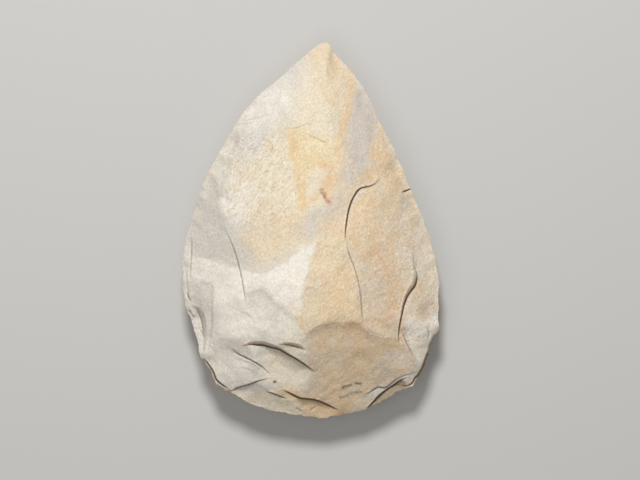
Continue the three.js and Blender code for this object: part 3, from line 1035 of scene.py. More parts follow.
            Area(((-26.5, -45.5), (-22, -44.4), (-19, -44.8), (-15.5, -46)), 0.6, 0.8, 0.7),
        ],
        Tint.RUST: [  # the one rusty mark, and faint washes
            Area(((5.3, 12.7), (6.1, 11.8), (7.2, 10.8)), 1.0, 0.7, 0.44),
            Area(((4.6, 14.4), (5.4, 13.2)), 0.8, 0.7, 0.4),
            Area(((-7.5, -65.4), (-1, -66.2), (5, -67)), 0.22, 1.6, 1.0),
            Area(((-0.2, -51), (0.2, -55), (1, -60)), 0.12, 2.0, 1.5),
            Area(((4, 26), (7, 23), (6.5, 20)), 0.08, 2.5, 1.5),
            Area(((6, -39.5), (14, -40), (20, -43)), 0.06, 3.0, 2.0),
        ],
        Tint.DRAB: [  # painted shade under the butt's ledges, on the low left rim and along the hinges, partly grime, and smudges
            Area(((-2, -43), (2, -39.6), (8, -38), (15, -38.2), (21, -41), (27, -44.5)), 0.16, 3.0, 1.4),
            Area(((41.6, -61), (42.6, -58), (44, -55), (45.2, -51.5), (46.6, -47.6), (48, -44.4), (54, -42),
                 (52, -54), (44, -63)), 0.8, 0.6),
            Area(((22.8, -71.4), (27.6, -66.2), (30.6, -63.7), (36, -60), (38.5, -61.8), (36, -66),
                 (30, -70)), 0.95, 0.6),
            Area(((-43.4, -51.2), (-41.2, -53.6), (-39.2, -56.6), (-37.8, -59.8), (-35.6, -61.9),
                 (-31, -63.9), (-36, -68), (-46, -58)), 0.6, 0.5),
            Area(((-9, -64.5), (-4, -66.7), (2, -67.9), (6, -69.2)), 0.4, 0.9, 0.7),
            Area(((4.7, 16.6), (4.0, 15.8), (4.4, 15)), 0.85, 0.6, 0.4),
            Area(((5.3, 15.2), (5.7, 14.5)), 0.6, 0.5, 0.4),
            Area(((-12, -45.4), (-7.4, -45.4), (-3.6, -46.6)), 0.4, 0.8, 0.5),
        ],
        Tint.SMUT: [  # the small dark marks
            Area(((12.8, -62.7), (14, -62.3), (15.9, -61.8)), 1.0, 0.7, 0.42),
            Area(((18.4, -61.2), (19.9, -60.9)), 1.0, 0.7, 0.42),
            Area(((12, -66.4), (14.5, -65.6), (17, -65.1), (20, -64.3)), 0.65, 0.8, 0.4),
            Area(((-14.4, -60.1), (-14, -59.9)), 1.0, 0.45, 0.44),
            Area(((4.9, 14.0), (5.4, 13.5)), 0.45, 0.5, 0.3),
        ],
    }


def crown_sparry() -> list[Area]:
    """Where the upper face is coarse and glinting, with small crystals broken across."""
    return [
        Area(((-34, 32), (-12, 40), (-4, 14), (-14, 2), (-34, 4)), 1.0, 5.0),
        Area(((2, 64), (14, 60), (15, 46), (8, 28), (-8, 10), (-8, 40)), 0.6, 4.0),
        Area(((3, -5), (13.5, -6), (20, -30), (20.5, -38), (-4, -36)), 0.6, 2.0),
        Area(((30, 40), (40, 18), (50, -10), (51, -40), (36, -46), (21, -41), (15, -8), (15, 10)), 0.7, 3.0),
        Area(((-2, -41), (19, -36), (35, -41), (43, -53), (26, -63), (4, -68)), 0.3, 2.0),
        Area(((-26, 2), (-6, 4), (-6, -8), (-22, -14)), 0.4, 4.0),
    ]


def belly_brinks() -> list[Brink]:
    """The lower face's steps, which are few and soft."""
    return [
        Brink("belly_hinge", ((-30, -38), (-24, -33), (-17, -31.5), (-11, -34), (-7, -39)),
              (0.8, 1.5, 1.3, 0.7), walls=(1.4,), reach=10.0),
        Brink("belly_side_step", ((24, 22), (20, 13), (19.5, 4), (22, -5), (27, -12)), (0.6, 1.0, 1.1, 0.6),
              walls=(1.4,), reach=8.0),
        Brink("belly_tip_step", ((-9, 30), (-3, 33), (4, 32.5), (9, 29)), (0.6, 0.9, 0.6), walls=(1.4,),
              reach=7.0),
        Brink("belly_butt_step", ((22, -52), (14, -48), (6, -49), (0, -53)), (0.6, 1.1, 0.8), walls=(1.4,),
              reach=8.0),
        Brink("belly_margin_step", ((-44, 6), (-38, 1), (-36, -6), (-38, -14)), (0.6, 1.0, 0.7),
              walls=(1.4,), reach=6.0),
    ]


def belly_stains() -> Stains:
    """The lower face's stains, of the same colours as the upper face's and more loosely laid."""
    return {
        Tint.CREAM: [
            Area(((-34, 26), (-20, 30), (-6, 10), (8, 14), (14, -6), (-4, -20), (-22, -12), (-36, 4)), 0.8,
                 6.0),
        ],
        Tint.LILAC: [
            Area(((28, 30), (36, 20), (30, 8), (22, 16)), 0.6, 3.0),
        ],
        Tint.GREY: [
            Area(((16, 4), (30, 10), (44, 0), (46, -18), (30, -22), (20, -12)), 0.7, 4.0),
        ],
        Tint.CHALK: [
            Area(((-14, -26), (0, -22), (12, -30), (16, -44), (8, -58), (-8, -62), (-14, -50), (-8, -38)),
                 0.6, 4.0),
        ],
        Tint.BUFF: [
            Area(((-22, 44), (-6, 62), (8, 70), (18, 52), (27, 30), (18, 14), (6, 20), (-6, 12), (-18, 24)),
                 0.8, 5.0),
        ],
        Tint.OCHRE: [
            Area(((-16, 40), (-12, 24), (-4, 12), (-10, -2)), 0.6, 3.5, 2.0),
            Area(((-50, -6), (-36, -4), (-26, -16), (-28, -30), (-40, -36), (-52, -28)), 0.5, 6.0),
        ],
        Tint.YELLOW: [
            Area(((-4, 44), (4, 40), (8, 28), (2, 24), (-4, 32)), 0.6, 3.0),
        ],
        Tint.ROSE: [
            Area(((-46, -20), (-34, -24), (-24, -34), (-16, -48)), 0.4, 4.0, 2.5),
        ],
        Tint.UMBER: [
            Area(((18, -28), (32, -24), (49, -34), (44, -48), (34, -52), (24, -66), (14, -50)), 0.5, 3.5),
            Area(((-42, -46), (-30, -48), (-20, -62), (-30, -68), (-42, -58)), 0.4, 5.0),
        ],
    }


def edge_retouch(outline: Outline, depth: float, seed: float) -> list[Scar]:
    """The small scars that were struck or pressed off along the edge, one in each of its bites.

    Args:
        outline: The edge.
        depth: The depth of a middling one.
        seed: Another number varies them another way.

    Returns:
        The scars, in order round the edge.
    """
    scars = []
    for i in range(outline.bites):
        place = outline.whole[int((i + 0.5) / outline.bites * len(outline.whole))]
        inwards = (outline.hub - place) / math.dist(outline.hub, place)
        vary = 0.5 + 0.5 * math.sin(2.7 * i + seed)
        x, y = place + (0.6 + 1.6 * vary) * inwards
        heading = math.degrees(math.atan2(inwards[1], inwards[0])) + 25 * math.sin(1.9 * i + seed)
        reach, spread = 2.8 + 3.6 * vary, 3.0 + 1.8 * vary
        scars.append(Scar(x, y, reach, spread, heading, depth * (0.6 + 0.8 * vary), ripple=0.0))
    return scars


def crown_face(outline: Outline) -> Crown:
    """The upper face, thickest near the butt."""
    return Crown(crest=((-15, -24), (20, -34)), rise=22.5, scars=crown_scars(), brinks=crown_brinks(),
                 stains=crown_stains(), retouch=edge_retouch(outline, 0.6, 0.0), sparry=crown_sparry(),
                 shoulder=0.5)


@dataclass(frozen=True)
class Ring:
    """Scars struck inwards all round a face, as far out as a share of the way from its middle to its edge."""

    count: int
    out: float
    reach: float
    spread: float
    depth: float
    middle: Place = (0.0, -12.5)
    first_angle: float = 0.37
    uneven: float = 0.22
    drawn_in: float = 0.3

    def scars(self, outline: Outline) -> list[Scar]:
        """Strikes the ring's scars, each a little different.

        Args:
            outline: The stone's outline.

        Returns:
            The scars, in order round the ring.
        """
        middle, scars = np.array(self.middle), []
        for i in range(self.count):
            vary = 1 + self.uneven * math.sin(2.4 * i + self.count)
            angle = self.first_angle + i * 2 * math.pi / self.count
            ahead = np.array([math.cos(angle), math.sin(angle)])
            far = outline.reach(middle, middle[None, :] + ahead)[1][0]
            x, y = middle + self.out * far * (1 - self.drawn_in * (vary - 1)) * ahead
            scars.append(Scar(x, y, self.reach * vary, self.spread / vary, math.degrees(angle),
                              self.depth * vary))
        return scars


def belly_face(outline: Outline) -> Face:
    """The lower face, struck inwards from the edge in two rings of scars."""
    outer, inner = Ring(13, 0.8, 15, 12, 1.9), Ring(7, 0.5, 22, 15, 1.3)
    return Face(crest=((-9, -15), (9, -10)), rise=18.5, scars=outer.scars(outline) + inner.scars(outline),
                brinks=belly_brinks(), stains=belly_stains(), retouch=edge_retouch(outline, 0.8, 2.0),
                least_sparry=0.5, crushed_and_highlit=False, seed=40.0)


# ---- Materials ----

@dataclass(frozen=True)
class Grain:
    """A noise pattern: the size of its lumps in millimetres, its finer layers and how much they count."""

    size: float
    detail: float = 2.0
    rough: float = 0.5
    twist: float = 0.0


class Nodes:
    """A material's nodes, linked as they are added."""

    # A colour Mix node has sockets of the same names for other kinds of value, so its own go by number.
    MIX_SHARE, MIX_FIRST, MIX_SECOND, MIX_RESULT = 0, 6, 7, 2
    NOISE_LOW, NOISE_HIGH = 0.3, 0.7  # most of a noise's values lie between these

    def __init__(self, name: str) -> None:
        """Starts a material with nothing but its output.

        Args:
            name: The material's name.
        """
        self.material = bpy.data.materials.new(name)
        self.material.use_nodes = True
        self.tree = self.material.node_tree
        self.tree.nodes.clear()
        self.output = self.tree.nodes.new("ShaderNodeOutputMaterial")

    def add(self, kind: str, inputs: dict | None = None, **settings: object) -> bpy.types.Node:
        """Adds a node.

        Args:
            kind: Its type, without the word ShaderNode.
            inputs: A value for each named or numbered input, or the socket that feeds it.
            settings: Its other properties.

        Returns:
            The node.
        """
        node = self.tree.nodes.new("ShaderNode" + kind)
        for key, value in settings.items():
            setattr(node, key, value)
        for key, value in (inputs or {}).items():
            if isinstance(value, Socket):
                self.tree.links.new(value, node.inputs[key])
            else:
                node.inputs[key].default_value = value
        return node

    def finish(self, inputs: dict) -> bpy.types.Material:
        """Adds the shader and finishes the material.

        Args:
            inputs: The shader's inputs, as for any other node.

        Returns:
            The material.
        """
        shader = self.add("BsdfPrincipled", inputs)
        self.tree.links.new(shader.outputs["BSDF"], self.output.inputs["Surface"])
        return self.material

    def mask(self, name: str) -> Socket:
        """One of the mesh's own attributes."""
        return self.add("Attribute", attribute_name=name).outputs["Fac"]

    def math(self, operation: str, *values: object) -> Socket:
        """A sum, product or other result."""
        return self.add("Math", dict(enumerate(values)), operation=operation).outputs[0]

    def times(self, first: object, second: object) -> Socket:
        """A product."""
        return self.math("MULTIPLY", first, second)

    def eased(self, value: object, low: float, high: float) -> Socket:
        """A value eased from 0 at low to 1 at high."""
        return self.add("MapRange", {"Value": value, "From Min": low, "From Max": high},
                        interpolation_type="SMOOTHSTEP").outputs[0]

    def between(self, value: object, low: float, high: float) -> Socket:
        """A value of 0 to 1, brought to run from low to high."""
        return self.add("MapRange", {"Value": value, "To Min": low, "To Max": high}).outputs[0]

    def spread(self, value: object, low: float, high: float) -> Socket:
        """Noise, brought to run from low to high."""
        return self.add("MapRange", {"Value": value, "From Min": self.NOISE_LOW, "From Max": self.NOISE_HIGH,
                                     "To Min": low, "To Max": high}).outputs[0]

    def moved(self, where: object, offset: Triple) -> Socket:
        """Places moved by an offset."""
        return self.add("VectorMath", {0: where, 1: offset}, operation="ADD").outputs[0]

    def squeezed(self, where: object, length: float) -> Socket:
        """Places drawn together along their first axis, so that what is laid on them is long that way."""
        return self.add("VectorMath", {0: where, 1: (1 / length, 1.0, 1.0)}, operation="MULTIPLY").outputs[0]

    def blend(self, share: object, first: object, second: object, how: str = "MIX") -> Socket:
        """Two colours, mixed by a share."""
        inputs = {self.MIX_SHARE: share, self.MIX_FIRST: first, self.MIX_SECOND: second}
        return self.add("Mix", inputs, data_type="RGBA", blend_type=how).outputs[self.MIX_RESULT]

    def shaded(self, colour: Socket, shade: object, amount: object, shares: Triple) -> Socket:
        """A colour made lighter and darker by a pattern.

        Args:
            colour: The colour.
            shade: What the whole of it is multiplied by.
            amount: The pattern, either side of nothing.
            shares: How much of the pattern red, green and blue each take.

        Returns:
            The shaded colour.
        """
        channels = {i: self.math("MULTIPLY_ADD", amount, share, 1.0) for i, share in enumerate(shares)}
        if shade is not None:
            channels = {i: self.times(shade, channel) for i, channel in channels.items()}
        return self.blend(1.0, colour, self.add("CombineColor", channels).outputs[0], "MULTIPLY")

    def noise(self, where: object, grain: Grain) -> Socket:
        """Noise of a grain."""
        inputs = {"Vector": where, "Scale": 1 / (grain.size * METRES), "Detail": grain.detail,
                  "Roughness": grain.rough, "Distortion": grain.twist}
        return self.add("TexNoise", inputs).outputs["Fac"]


def opaque(colour: Colour) -> tuple[float, float, float, float]:
    """A colour with full alpha."""
    return (*colour, 1.0)


@dataclass(frozen=True)
class Speck:
    """Small specks of one colour, rarer the higher their noise's threshold.

    The plain share is how strong they are on smooth stone, and the sparry share on sparry stone.
    """

    colour: Colour
    size: float
    threshold: float
    plain: float
    sparry: float

    border: ClassVar[float] = 0.05


@dataclass(frozen=True)
class ChertFinish:
    """The stone's surface: a cream body, stains with broken borders, grain, specks, and dark brown in its
    cracks that is partly grime and partly painted shade.

    Each pattern is a Grain, and the pair after it is the range that it is brought to, or that it takes from
    smooth to sparry stone. The pale specks are painted glints. The chips' borders are the middle contours of
    their own noise, drawn as a painted highlight on one side and painted shade on the other. The grain's
    shares are how much of it red, green and blue take.
    """

    body: Colour = (0.716, 0.672, 0.608)
    # Dark brown painted in the cracks and on the steps' walls: partly grime, partly painted shade.
    soil: Colour = (0.150, 0.090, 0.045)
    # Pale painted along the steps' top edges: partly battered stone, partly a painted highlight.
    bruise: Colour = (0.93, 0.88, 0.80)
    cooler: Colour = (0.985, 0.975, 0.98)
    warmer: Colour = (1.00, 0.985, 0.925)
    warmth: Grain = Grain(6.0, 5.0, 0.65, 0.4)
    # Painted glints of small crystals; the same colour is the painted highlight on the chips' lit borders.
    pale: Speck = Speck((0.96, 0.91, 0.76), 0.50, 0.66, 0.35, 0.80)
    # Brown specks; the same colour is the painted shade on the chips' shaded borders.
    brown: Speck = Speck((0.58, 0.43, 0.27), 0.90, 0.67, 0.16, 0.38)
    dark: Speck = Speck((0.30, 0.24, 0.18), 0.75, 0.76, 0.40, 0.40)
    fine: Grain = Grain(0.6, 2.0, 0.7)
    grain_shares: Triple = (0.8, 1.0, 1.4)
    grain_strength: Pair = (0.15, 0.175)
    grain_heading: float = 52.0
    grain_length: float = 1.7
    streak: Grain = Grain(1.0, 3.0, 0.6, 0.6)
    streak_length: float = 4.0
    streak_strength: float = 0.10
    streaky: Pair = (0.75, 1.0)
    mottling: Grain = Grain(4.0, 5.0, 0.7)
    mottle: Pair = (0.965, 1.035)
    specks_apart: Pair = (0.31, 0.17)
    chip: Grain = Grain(2.6, 3.0, 0.55, 0.3)
    chip_shares: Pair = (0.08, 0.60)
    chip_levels: Pair = (0.50, 0.455)
    chip_border: float = 0.045
    chip_cover: Grain = Grain(1.5, 1.0)
    chips_kept: Pair = (0.50, 0.56)
    chip_step: Pair = (0.44, 0.51)
    cloud: Grain = Grain(7.0, 6.0, 0.62, 0.5)
    crumbs: Grain = Grain(1.3, 3.0, 0.6)
    apart: Pair = (0.13, 0.07)
    ragged: float = 0.40
    crumbled: float = 0.10
    most_ragged: float = 0.8
    # Noise that breaks up the pale step edges, which are partly battered stone and partly painted highlight.
    bruise_highlight_noise: Grain = Grain(1.4, 3.0)
    bruise_highlight_range: Pair = (0.05, 0.55)
    # Noise and levels that break up the dark brown, which is partly grime and partly painted shade.
    soil_and_shade_noise: Grain = Grain(1.6, 3.0)
    soil_and_shade_spread: Pair = (0.75, 1.25)
    soil_and_shade_levels: Pair = (0.05, 0.95)
    gloss: Grain = Grain(1.1, 3.0, 0.6)
    roughness: Pair = (0.58, 0.88)
    specular: float = 0.32
    relief_fine: Grain = Grain(0.8, 2.0, 0.6)
    relief_coarse: Grain = Grain(1.9, 4.0, 0.65)
    relief_share: float = 0.8
    relief_depth: float = 0.00030
    relief_strength: Pair = (0.5, 1.0)
    relief_chips: Pair = (0.03, 0.22)

    def material(self) -> bpy.types.Material:
        """Builds the material.

        Returns:
            The material.
        """
        nodes = Nodes("flaked_chert")
        where = nodes.add("TexCoord").outputs["Object"]
        colour = self._speckled(nodes, where, self._stained(nodes, where))
        # Pale along the steps' top edges: partly battered stone, partly a painted highlight.
        crushed_and_highlit = nodes.spread(nodes.noise(where, self.bruise_highlight_noise), *self.bruise_highlight_range)
        crushed_and_highlit = nodes.times(nodes.mask("bruise"), crushed_and_highlit)
        colour = nodes.blend(crushed_and_highlit, colour, opaque(self.bruise))
        # Dark brown in the cracks and on the steps' walls: partly grime, partly painted shade.
        dirt_and_shade = nodes.times(nodes.mask("soil"), nodes.between(nodes.noise(where, self.soil_and_shade_noise), *self.soil_and_shade_spread))
        colour = nodes.blend(nodes.eased(dirt_and_shade, *self.soil_and_shade_levels), colour, opaque(self.soil))
        return nodes.finish({
            "Base Color": colour,
            "Roughness": nodes.between(nodes.noise(where, self.gloss), *self.roughness),
            "Normal": self._relief(nodes, where),
            "Specular IOR Level": self.specular,
        })

    def _relief(self, nodes: Nodes, where: Socket) -> Socket:
        """The bump of the fine grain and of the small chips' steps, stronger where the stone is sparry.

        Args:
            nodes: The material's nodes.
            where: The place on the stone.

        Returns:
            The bumped normal.
        """
        grained = self._along_grain(nodes, where)
        fine = nodes.times(nodes.noise(grained, self.relief_fine), self.relief_share)
        grain = nodes.math("ADD", fine, nodes.noise(grained, self.relief_coarse))
        steps = nodes.eased(nodes.noise(grained, self.chip), *self.chip_step)
        height = nodes.between(nodes.mask("sparry"), *self.relief_chips)
        grain = nodes.math("MULTIPLY_ADD", steps, height, grain)
        strength = nodes.between(nodes.mask("sparry"), *self.relief_strength)
        return nodes.add("Bump", {"Height": grain, "Distance": self.relief_depth,
                                  "Strength": strength}).outputs["Normal"]

    def _stained(self, nodes: Nodes, where: Socket) -> Socket:
        """Lays every tint over the body colour.

        Args:
            nodes: The material's nodes.
            where: The place on the stone.

        Returns:
            The stained colour.
        """
        colour = opaque(self.body)
        for i, tint in enumerate(Tint):
            there = nodes.moved(where, (self.apart[0] * i, self.apart[1] * i, 0.0))
            cloud = nodes.spread(nodes.noise(there, self.cloud), -1.0, 1.0)
            crumbs = nodes.spread(nodes.noise(there, self.crumbs), -1.0, 1.0)
            offset = nodes.math("ADD", nodes.times(cloud, self.ragged), nodes.times(crumbs, self.crumbled))
            mask = nodes.mask(tint.mask)
            partly = nodes.times(nodes.times(mask, 4.0), nodes.math("SUBTRACT", 1.0, mask))
            ragged = nodes.times(offset, nodes.math("MINIMUM", partly, self.most_ragged))
            share = nodes.between(nodes.math("ADD", mask, ragged), 0.0, 1.0)
            colour = nodes.blend(share, colour, opaque(tint.value))
        warmth = nodes.spread(nodes.noise(where, self.warmth), 0.0, 1.0)
        cast = nodes.blend(warmth, opaque(self.cooler), opaque(self.warmer))
        return nodes.blend(1.0, colour, cast, "MULTIPLY")

    def _along_grain(self, nodes: Nodes, where: Socket) -> Socket:
        """Places drawn together along the stone's grain."""
        along = nodes.add("VectorRotate", {"Vector": where, "Angle": -math.radians(self.grain_heading)},
                          rotation_type="Z_AXIS").outputs[0]
        return nodes.squeezed(along, self.grain_length)

    def _speckled(self, nodes: Nodes, where: Socket, colour: Socket) -> Socket:
        """Adds mottling and fine grain to a colour, and streaks, specks (the pale ones painted glints) and
        the chips' painted highlights and shade where it is sparry.

        Args:
            nodes: The material's nodes.
            where: The place on the stone.
            colour: The colour.

        Returns:
            The colour with all of them.
        """
        sparry = nodes.mask("sparry")
        grained = self._along_grain(nodes, where)
        mottle = nodes.spread(nodes.noise(where, self.mottling), *self.mottle)
        grain = nodes.spread(nodes.noise(grained, self.fine), -1.0, 1.0)
        grain = nodes.times(grain, nodes.between(sparry, *self.grain_strength))
        colour = nodes.shaded(colour, mottle, grain, self.grain_shares)
        drawn = nodes.squeezed(grained, self.streak_length)
        streak = nodes.spread(nodes.noise(drawn, self.streak), -1.0, 1.0)
        streak = nodes.times(streak, nodes.times(nodes.eased(sparry, *self.streaky), self.streak_strength))
        colour = nodes.shaded(colour, None, streak, self.grain_shares)
        # The pale specks are painted glints.
        for i, speck in enumerate((self.pale, self.brown, self.dark)):
            there = nodes.moved(grained, (self.specks_apart[0] * i, self.specks_apart[1], 0.0))
            seen = nodes.eased(nodes.noise(there, Grain(speck.size, 1.0)), speck.threshold,
                               speck.threshold + speck.border)
            share = nodes.times(seen, nodes.between(sparry, speck.plain, speck.sparry))
            colour = nodes.blend(share, colour, opaque(speck.colour))
        return self._chip_highlights_and_shade(nodes, grained, sparry, colour)

    def _chip_highlights_and_shade(self, nodes: Nodes, grained: Socket, sparry: Socket, colour: Socket) -> Socket:
        """A colour with a painted highlight and painted shade drawn along the borders of small chips.

        Args:
            nodes: The material's nodes.
            grained: Places drawn together along the grain.
            sparry: How sparry the stone is.
            colour: The colour.

        Returns:
            The colour with the borders.
        """
        there = nodes.moved(grained, (0.5, 0.2, 0.0))
        kept = nodes.times(nodes.between(sparry, *self.chip_shares),
                           nodes.eased(nodes.noise(there, self.chip_cover), *self.chips_kept))
        # Each border gets a painted highlight on one side and painted shade on the other.
        for level, speck in zip(self.chip_levels, (self.pale, self.brown)):
            chips = nodes.noise(grained, self.chip)
            rise = nodes.eased(chips, level - self.chip_border, level)
            fall = nodes.eased(chips, level, level + self.chip_border)
            on_border = nodes.times(kept, nodes.math("SUBTRACT", rise, fall))
            colour = nodes.blend(on_border, colour, opaque(speck.colour))
        return colour


@dataclass(frozen=True)
class FloorFinish:
    """The plain pale floor."""

    colour: Colour = (0.62, 0.61, 0.59)
    roughness: float = 0.9
    specular: float = 0.2

    def material(self) -> bpy.types.Material:
        """Builds the material."""
        return Nodes("pale_floor").finish({"Base Color": opaque(self.colour), "Roughness": self.roughness,
                                           "Specular IOR Level": self.specular})


# ---- The stone ----

@dataclass
class HandAxe:
    """The stone itself, one piece, between its upper face, the crown, and its lower face, the belly.

    The sheet midway between the faces sways slowly and ripples close to the edge. The mesh is made finer
    within a margin of each step's wall, and finer again within a smaller one of the deeper steps' walls.
    """

    outline: Outline = field(default_factory=Outline)
    finish: ChertFinish = field(default_factory=ChertFinish)
    cells_across: int = 86
    cells_along: int = 118
    sway: float = 1.3
    sway_length: float = 17.0
    sway_stretch: float = 1.4
    sway_phase: Pair = (0.6, -0.3)
    ripple: float = 0.30
    ripple_size: float = 4.5
    ripple_fade: float = 2.5
    rest_flat: float = 1.6
    fine_margin: float = 0.75
    finest_margin: float = 0.27
    finest_drop: float = 0.85
    fine_rim: float = 1.0
    stain_wander: float = 0.7
    stain_wander_size: float = 5.0
    crown: Face = field(init=False)
    belly: Face = field(init=False)
    places: Places = field(init=False)
    upper: Choice = field(init=False)

    def __post_init__(self) -> None:
        """Works out the two faces, which meet at the outline."""
        self.crown = crown_face(self.outline)
        self.belly = belly_face(self.outline)

    def build(self) -> bpy.types.Object:
        """Makes the stone.

        Returns:
            The finished piece, dressed and riding on the frame.
        """
        stone = self._slab()
        self._cut_to_outline(stone)
        self._refine(stone, lambda middles: np.full(len(middles), True))
        self._refine(stone, lambda middles: self._busy(middles, self.fine_margin, 0.0))
        self._refine(stone, lambda middles: self._busy(middles, self.finest_margin, self.finest_drop))
        self._raise(stone)
        self._dress(stone)
        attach(stone, "root")
        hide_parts("hand_axe")
        return stone

    def _slab(self) -> bpy.types.Object:
        """Builds a thin square slab whose top and bottom are grids, joined round the rim.

        Returns:
            The slab.
        """
        bpy.ops.object.select_all(action="DESELECT")
        bpy.ops.mesh.primitive_grid_add(x_subdivisions=self.cells_across, y_subdivisions=self.cells_along,
                                        size=2, location=(0, 0, SLAB))
        bpy.ops.object.transform_apply(location=True)
        stone = bpy.context.object
        stone.name = stone.data.name = "flaked_stone"
        bpy.ops.object.mode_set(mode="EDIT")
        bpy.ops.mesh.select_all(action="SELECT")
        bpy.ops.mesh.duplicate()
        bpy.ops.transform.translate(value=(0, 0, -2 * SLAB))
        bpy.ops.mesh.flip_normals()
        bpy.ops.mesh.select_mode(type="EDGE")
        bpy.ops.mesh.select_all(action="DESELECT")
        bpy.ops.mesh.select_non_manifold(use_wire=False, use_multi_face=False, use_non_contiguous=False,
                                         use_verts=False)
        bpy.ops.mesh.bridge_edge_loops()
        bpy.ops.mesh.select_all(action="SELECT")
        bpy.ops.mesh.normals_make_consistent(inside=False)
        bpy.ops.object.mode_set(mode="OBJECT")
        return stone

    @staticmethod
    def _corners(stone: bpy.types.Object) -> np.ndarray:
        """Reads where the mesh's points are.

        Args:
            stone: The stone.

        Returns:
            One row for each point.
        """
        flat = np.empty(3 * len(stone.data.vertices))
        stone.data.vertices.foreach_get("co", flat)
        return flat.reshape(-1, 3)

    @staticmethod
    def _move(stone: bpy.types.Object, corners: np.ndarray) -> None:
        """Moves the mesh's points."""
        stone.data.vertices.foreach_set("co", corners.ravel())
        stone.data.update()

    def _cut_to_outline(self, stone: bpy.types.Object) -> None:
        """Draws the square slab out to the stone's outline.

        Args:
            stone: The slab.
        """
        corners = self._corners(stone)
        corners[:, :2] = self.outline.drawn_out(corners[:, :2])
        self._move(stone, corners)

    def _refine(self, stone: bpy.types.Object, chosen: Callable[[Places], Choice]) -> None:
        """Subdivides the chosen part of the slab's top.

        Args:
            stone: The slab.
            chosen: Says which faces, from their middles.
        """
        mesh = stone.data
        middles = np.empty(3 * len(mesh.polygons))
        mesh.polygons.foreach_get("center", middles)
        middles = middles.reshape(-1, 3)
        on_top = middles[:, 2] > 0.99 * SLAB
        picked = np.full(len(middles), False)
        picked[on_top] = chosen(middles[on_top, :2])
        mesh.vertices.foreach_set("select", np.full(len(mesh.vertices), False))
        mesh.edges.foreach_set("select", np.full(len(mesh.edges), False))
        mesh.polygons.foreach_set("select", picked)
        bpy.context.tool_settings.mesh_select_mode = (False, False, True)
        bpy.ops.object.mode_set(mode="EDIT")
        bpy.ops.mesh.subdivide(number_cuts=1, ngon=False)
        bpy.ops.object.mode_set(mode="OBJECT")
        triangles = sum(face.loop_total - 2 for face in mesh.polygons)
        log.info("refined %d faces, now %d triangles", picked.sum(), triangles)

    def _busy(self, places: Places, margin: float, drop: float) -> Choice:
        """Finds where the mesh has to be finer.

        Args:
            places: All the places.
            margin: How near a step's wall is near.
            drop: How deep a step has to be.

        Returns:
            Whether each place is near such a step or a fine stain or, where any step will do, near the edge.
        """
        busy = self.outline.room(places) < (self.fine_rim if drop == 0 else 0)
        for areas in self.crown.stains.values():
            for area in areas:
                if area.fine:
                    busy |= area.over(places) > 0
        for brink in self.crown.brinks:
            if max(brink.drops) >= drop and not (brink.rounded and drop > 0):
                near, aside, share = brink.measured(places, max(brink.walls) + margin)
                wall = 0.0 if brink.rounded else brink.width_at(share)
                busy[near[(aside > -margin) & (aside < wall + margin)]] = True
        return busy

    def _midway(self, places: Places) -> Values:
        """The sheet midway between the faces, which the edge follows.

        Args:
            places: Where it is wanted.

        Returns:
            Its height at each place.
        """
        x, y = places.T
        across, along = self.sway_phase
        long = self.sway_stretch * self.sway_length
        slow = self.sway * np.sin(x / self.sway_length + across) * np.cos(y / long + along)
        fade = np.exp(-self.outline.room(places) / self.ripple_fade)
        return slow + self.ripple * lumps(places, self.ripple_size, 3, 17.0) * fade

    def _raise(self, stone: bpy.types.Object) -> None:
        """Raises the slab into the two faces, lays it on its flat and brings it to metres.

        Args:
            stone: The slab, drawn out to the outline.
        """
        corners = self._corners(stone)
        self.places = corners[:, :2].copy()
        self.upper = corners[:, 2] > 0
        above, below = self.places[self.upper], self.places[~self.upper]
        corners[self.upper, 2] = self._midway(above) + self.crown.finished(self.outline, above)
        midway = self._midway(below)
        ground = (midway - self.belly.height(self.outline, below)).min() + self.rest_flat
        corners[~self.upper, 2] = np.maximum(midway - self.belly.finished(self.outline, below), ground)
        low, high = corners.min(0), corners.max(0)
        corners -= ((low[0] + high[0]) / 2, (low[1] + high[1]) / 2, ground)
        self._move(stone, corners * METRES)

    def _dress(self, stone: bpy.types.Object) -> None:
        """Paints the masks of the stains, of the dark brown in the cracks, which is partly grime and partly
        painted shade, and of the pale step edges, which are partly battered stone and partly painted
        highlight, and gives the stone its material.

        Args:
            stone: The stone.
        """
        ragged = wandered(self.places, self.stain_wander, self.stain_wander_size, 3, (31.0, 47.0))
        for tint in Tint:
            self._paint(stone, tint.mask,
                        lambda face, mine: strongest(face.stains.get(tint, []), ragged[mine]))
        self._paint(stone, "sparry",
                    lambda face, mine: strongest(face.sparry, ragged[mine], face.least_sparry))
        # Dark brown along the steps' feet and walls: partly grime, partly painted shade.
        self._paint(stone, "soil", lambda face, mine: face.soiled_and_shaded(self.places[mine]))
        # Pale along the steps' top edges: partly battered stone, partly a painted highlight.
        self._paint(stone, "bruise", lambda face, mine: face.bruised_and_highlit(self.places[mine]))
        stone.data.materials.clear()
        stone.data.materials.append(self.finish.material())
        stone.data.polygons.foreach_set("use_smooth", np.full(len(stone.data.polygons), True))
        stone.data.update()

    def _paint(self, stone: bpy.types.Object, name: str, amount: Callable[[Face, Choice], Values]) -> None:
        """Keeps a mask, which is one number for each point of the mesh, under a name.

        Args:
            stone: The stone.
            name: The mask's name.
            amount: Gives the numbers of one face's points, from the face and the choice of its points.
        """
        values = np.zeros(len(self.places))
        for face, mine in ((self.crown, self.upper), (self.belly, ~self.upper)):
            values[mine] = amount(face, mine)
        stone.data.attributes.new(name, "FLOAT", "POINT").data.foreach_set("value", values)


# ---- The studio ----

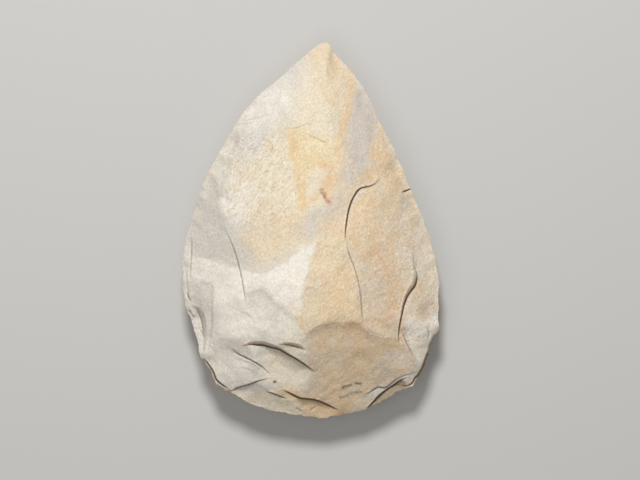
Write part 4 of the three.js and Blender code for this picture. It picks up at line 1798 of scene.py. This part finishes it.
@dataclass(frozen=True)
class SoftLight:
    """A round area light that is aimed at the stone."""

    name: str
    place: Triple
    size: float
    power: float

    def build(self) -> None:
        """Sets up the light."""
        lamp = bpy.data.lights.new(self.name, "AREA")
        lamp.shape = "DISK"
        lamp.size = self.size
        lamp.energy = self.power
        light = bpy.data.objects.new(self.name, lamp)
        light.location = self.place
        light.rotation_euler = Vector(self.place).to_track_quat("Z", "Y").to_euler()
        bpy.context.scene.collection.objects.link(light)


@dataclass
class Studio:
    """A pale floor, soft light from beyond the tip, and a camera straight above. Its sizes are in metres."""

    lights: tuple[SoftLight, ...] = (
        SoftLight("key_light", (-0.06, 0.57, 0.83), 0.24, 7.0),
        SoftLight("fill_light", (-0.15, -0.20, 0.96), 0.80, 1.7),
    )
    floor_size: float = 3.0
    sky_colour: Colour = (1.0, 0.99, 0.97)
    sky_strength: float = 0.22
    camera_lens: float = 180.0
    sensor: float = 36.0
    view_width: float = 0.256
    eye: Place = (0.0038, -0.0038)
    edge_height: float = 0.0165

    def build(self) -> None:
        """Sets up the floor, the lights and the camera."""
        self._floor()
        for light in self.lights:
            light.build()
        self._sky()
        self._camera()
        bpy.context.scene.view_settings.view_transform = "Standard"

    def _floor(self) -> None:
        """The floor, which isn't part of the object."""
        bpy.ops.object.select_all(action="DESELECT")
        bpy.ops.mesh.primitive_plane_add(size=self.floor_size, location=(0, 0, 0))
        floor = bpy.context.object
        floor.name = "floor"
        floor.data.materials.append(FloorFinish().material())

    def _sky(self) -> None:
        """Even light from all round."""
        world = bpy.data.worlds.new("studio")
        world.use_nodes = True
        background = world.node_tree.nodes["Background"]
        background.inputs["Color"].default_value = opaque(self.sky_colour)
        background.inputs["Strength"].default_value = self.sky_strength
        bpy.context.scene.world = world

    def _camera(self) -> None:
        """A camera that looks straight down, with the tip upwards in its view."""
        lens = bpy.data.cameras.new("camera")
        lens.lens = self.camera_lens
        lens.sensor_width = self.sensor
        camera = bpy.data.objects.new("camera", lens)
        height = self.edge_height + self.view_width * self.camera_lens / self.sensor
        camera.location = (*self.eye, height)
        bpy.context.scene.collection.objects.link(camera)
        bpy.context.scene.camera = camera


def main() -> None:
    """Builds the stone and the studio round it."""
    logging.basicConfig(level=logging.INFO, format="%(name)s: %(message)s")
    stone = HandAxe().build()
    log.info("%s: %d faces", stone.name, len(stone.data.polygons))
    Studio().build()
    log.info("studio: floor, lights and camera")


if __name__ == "__main__":
    main()
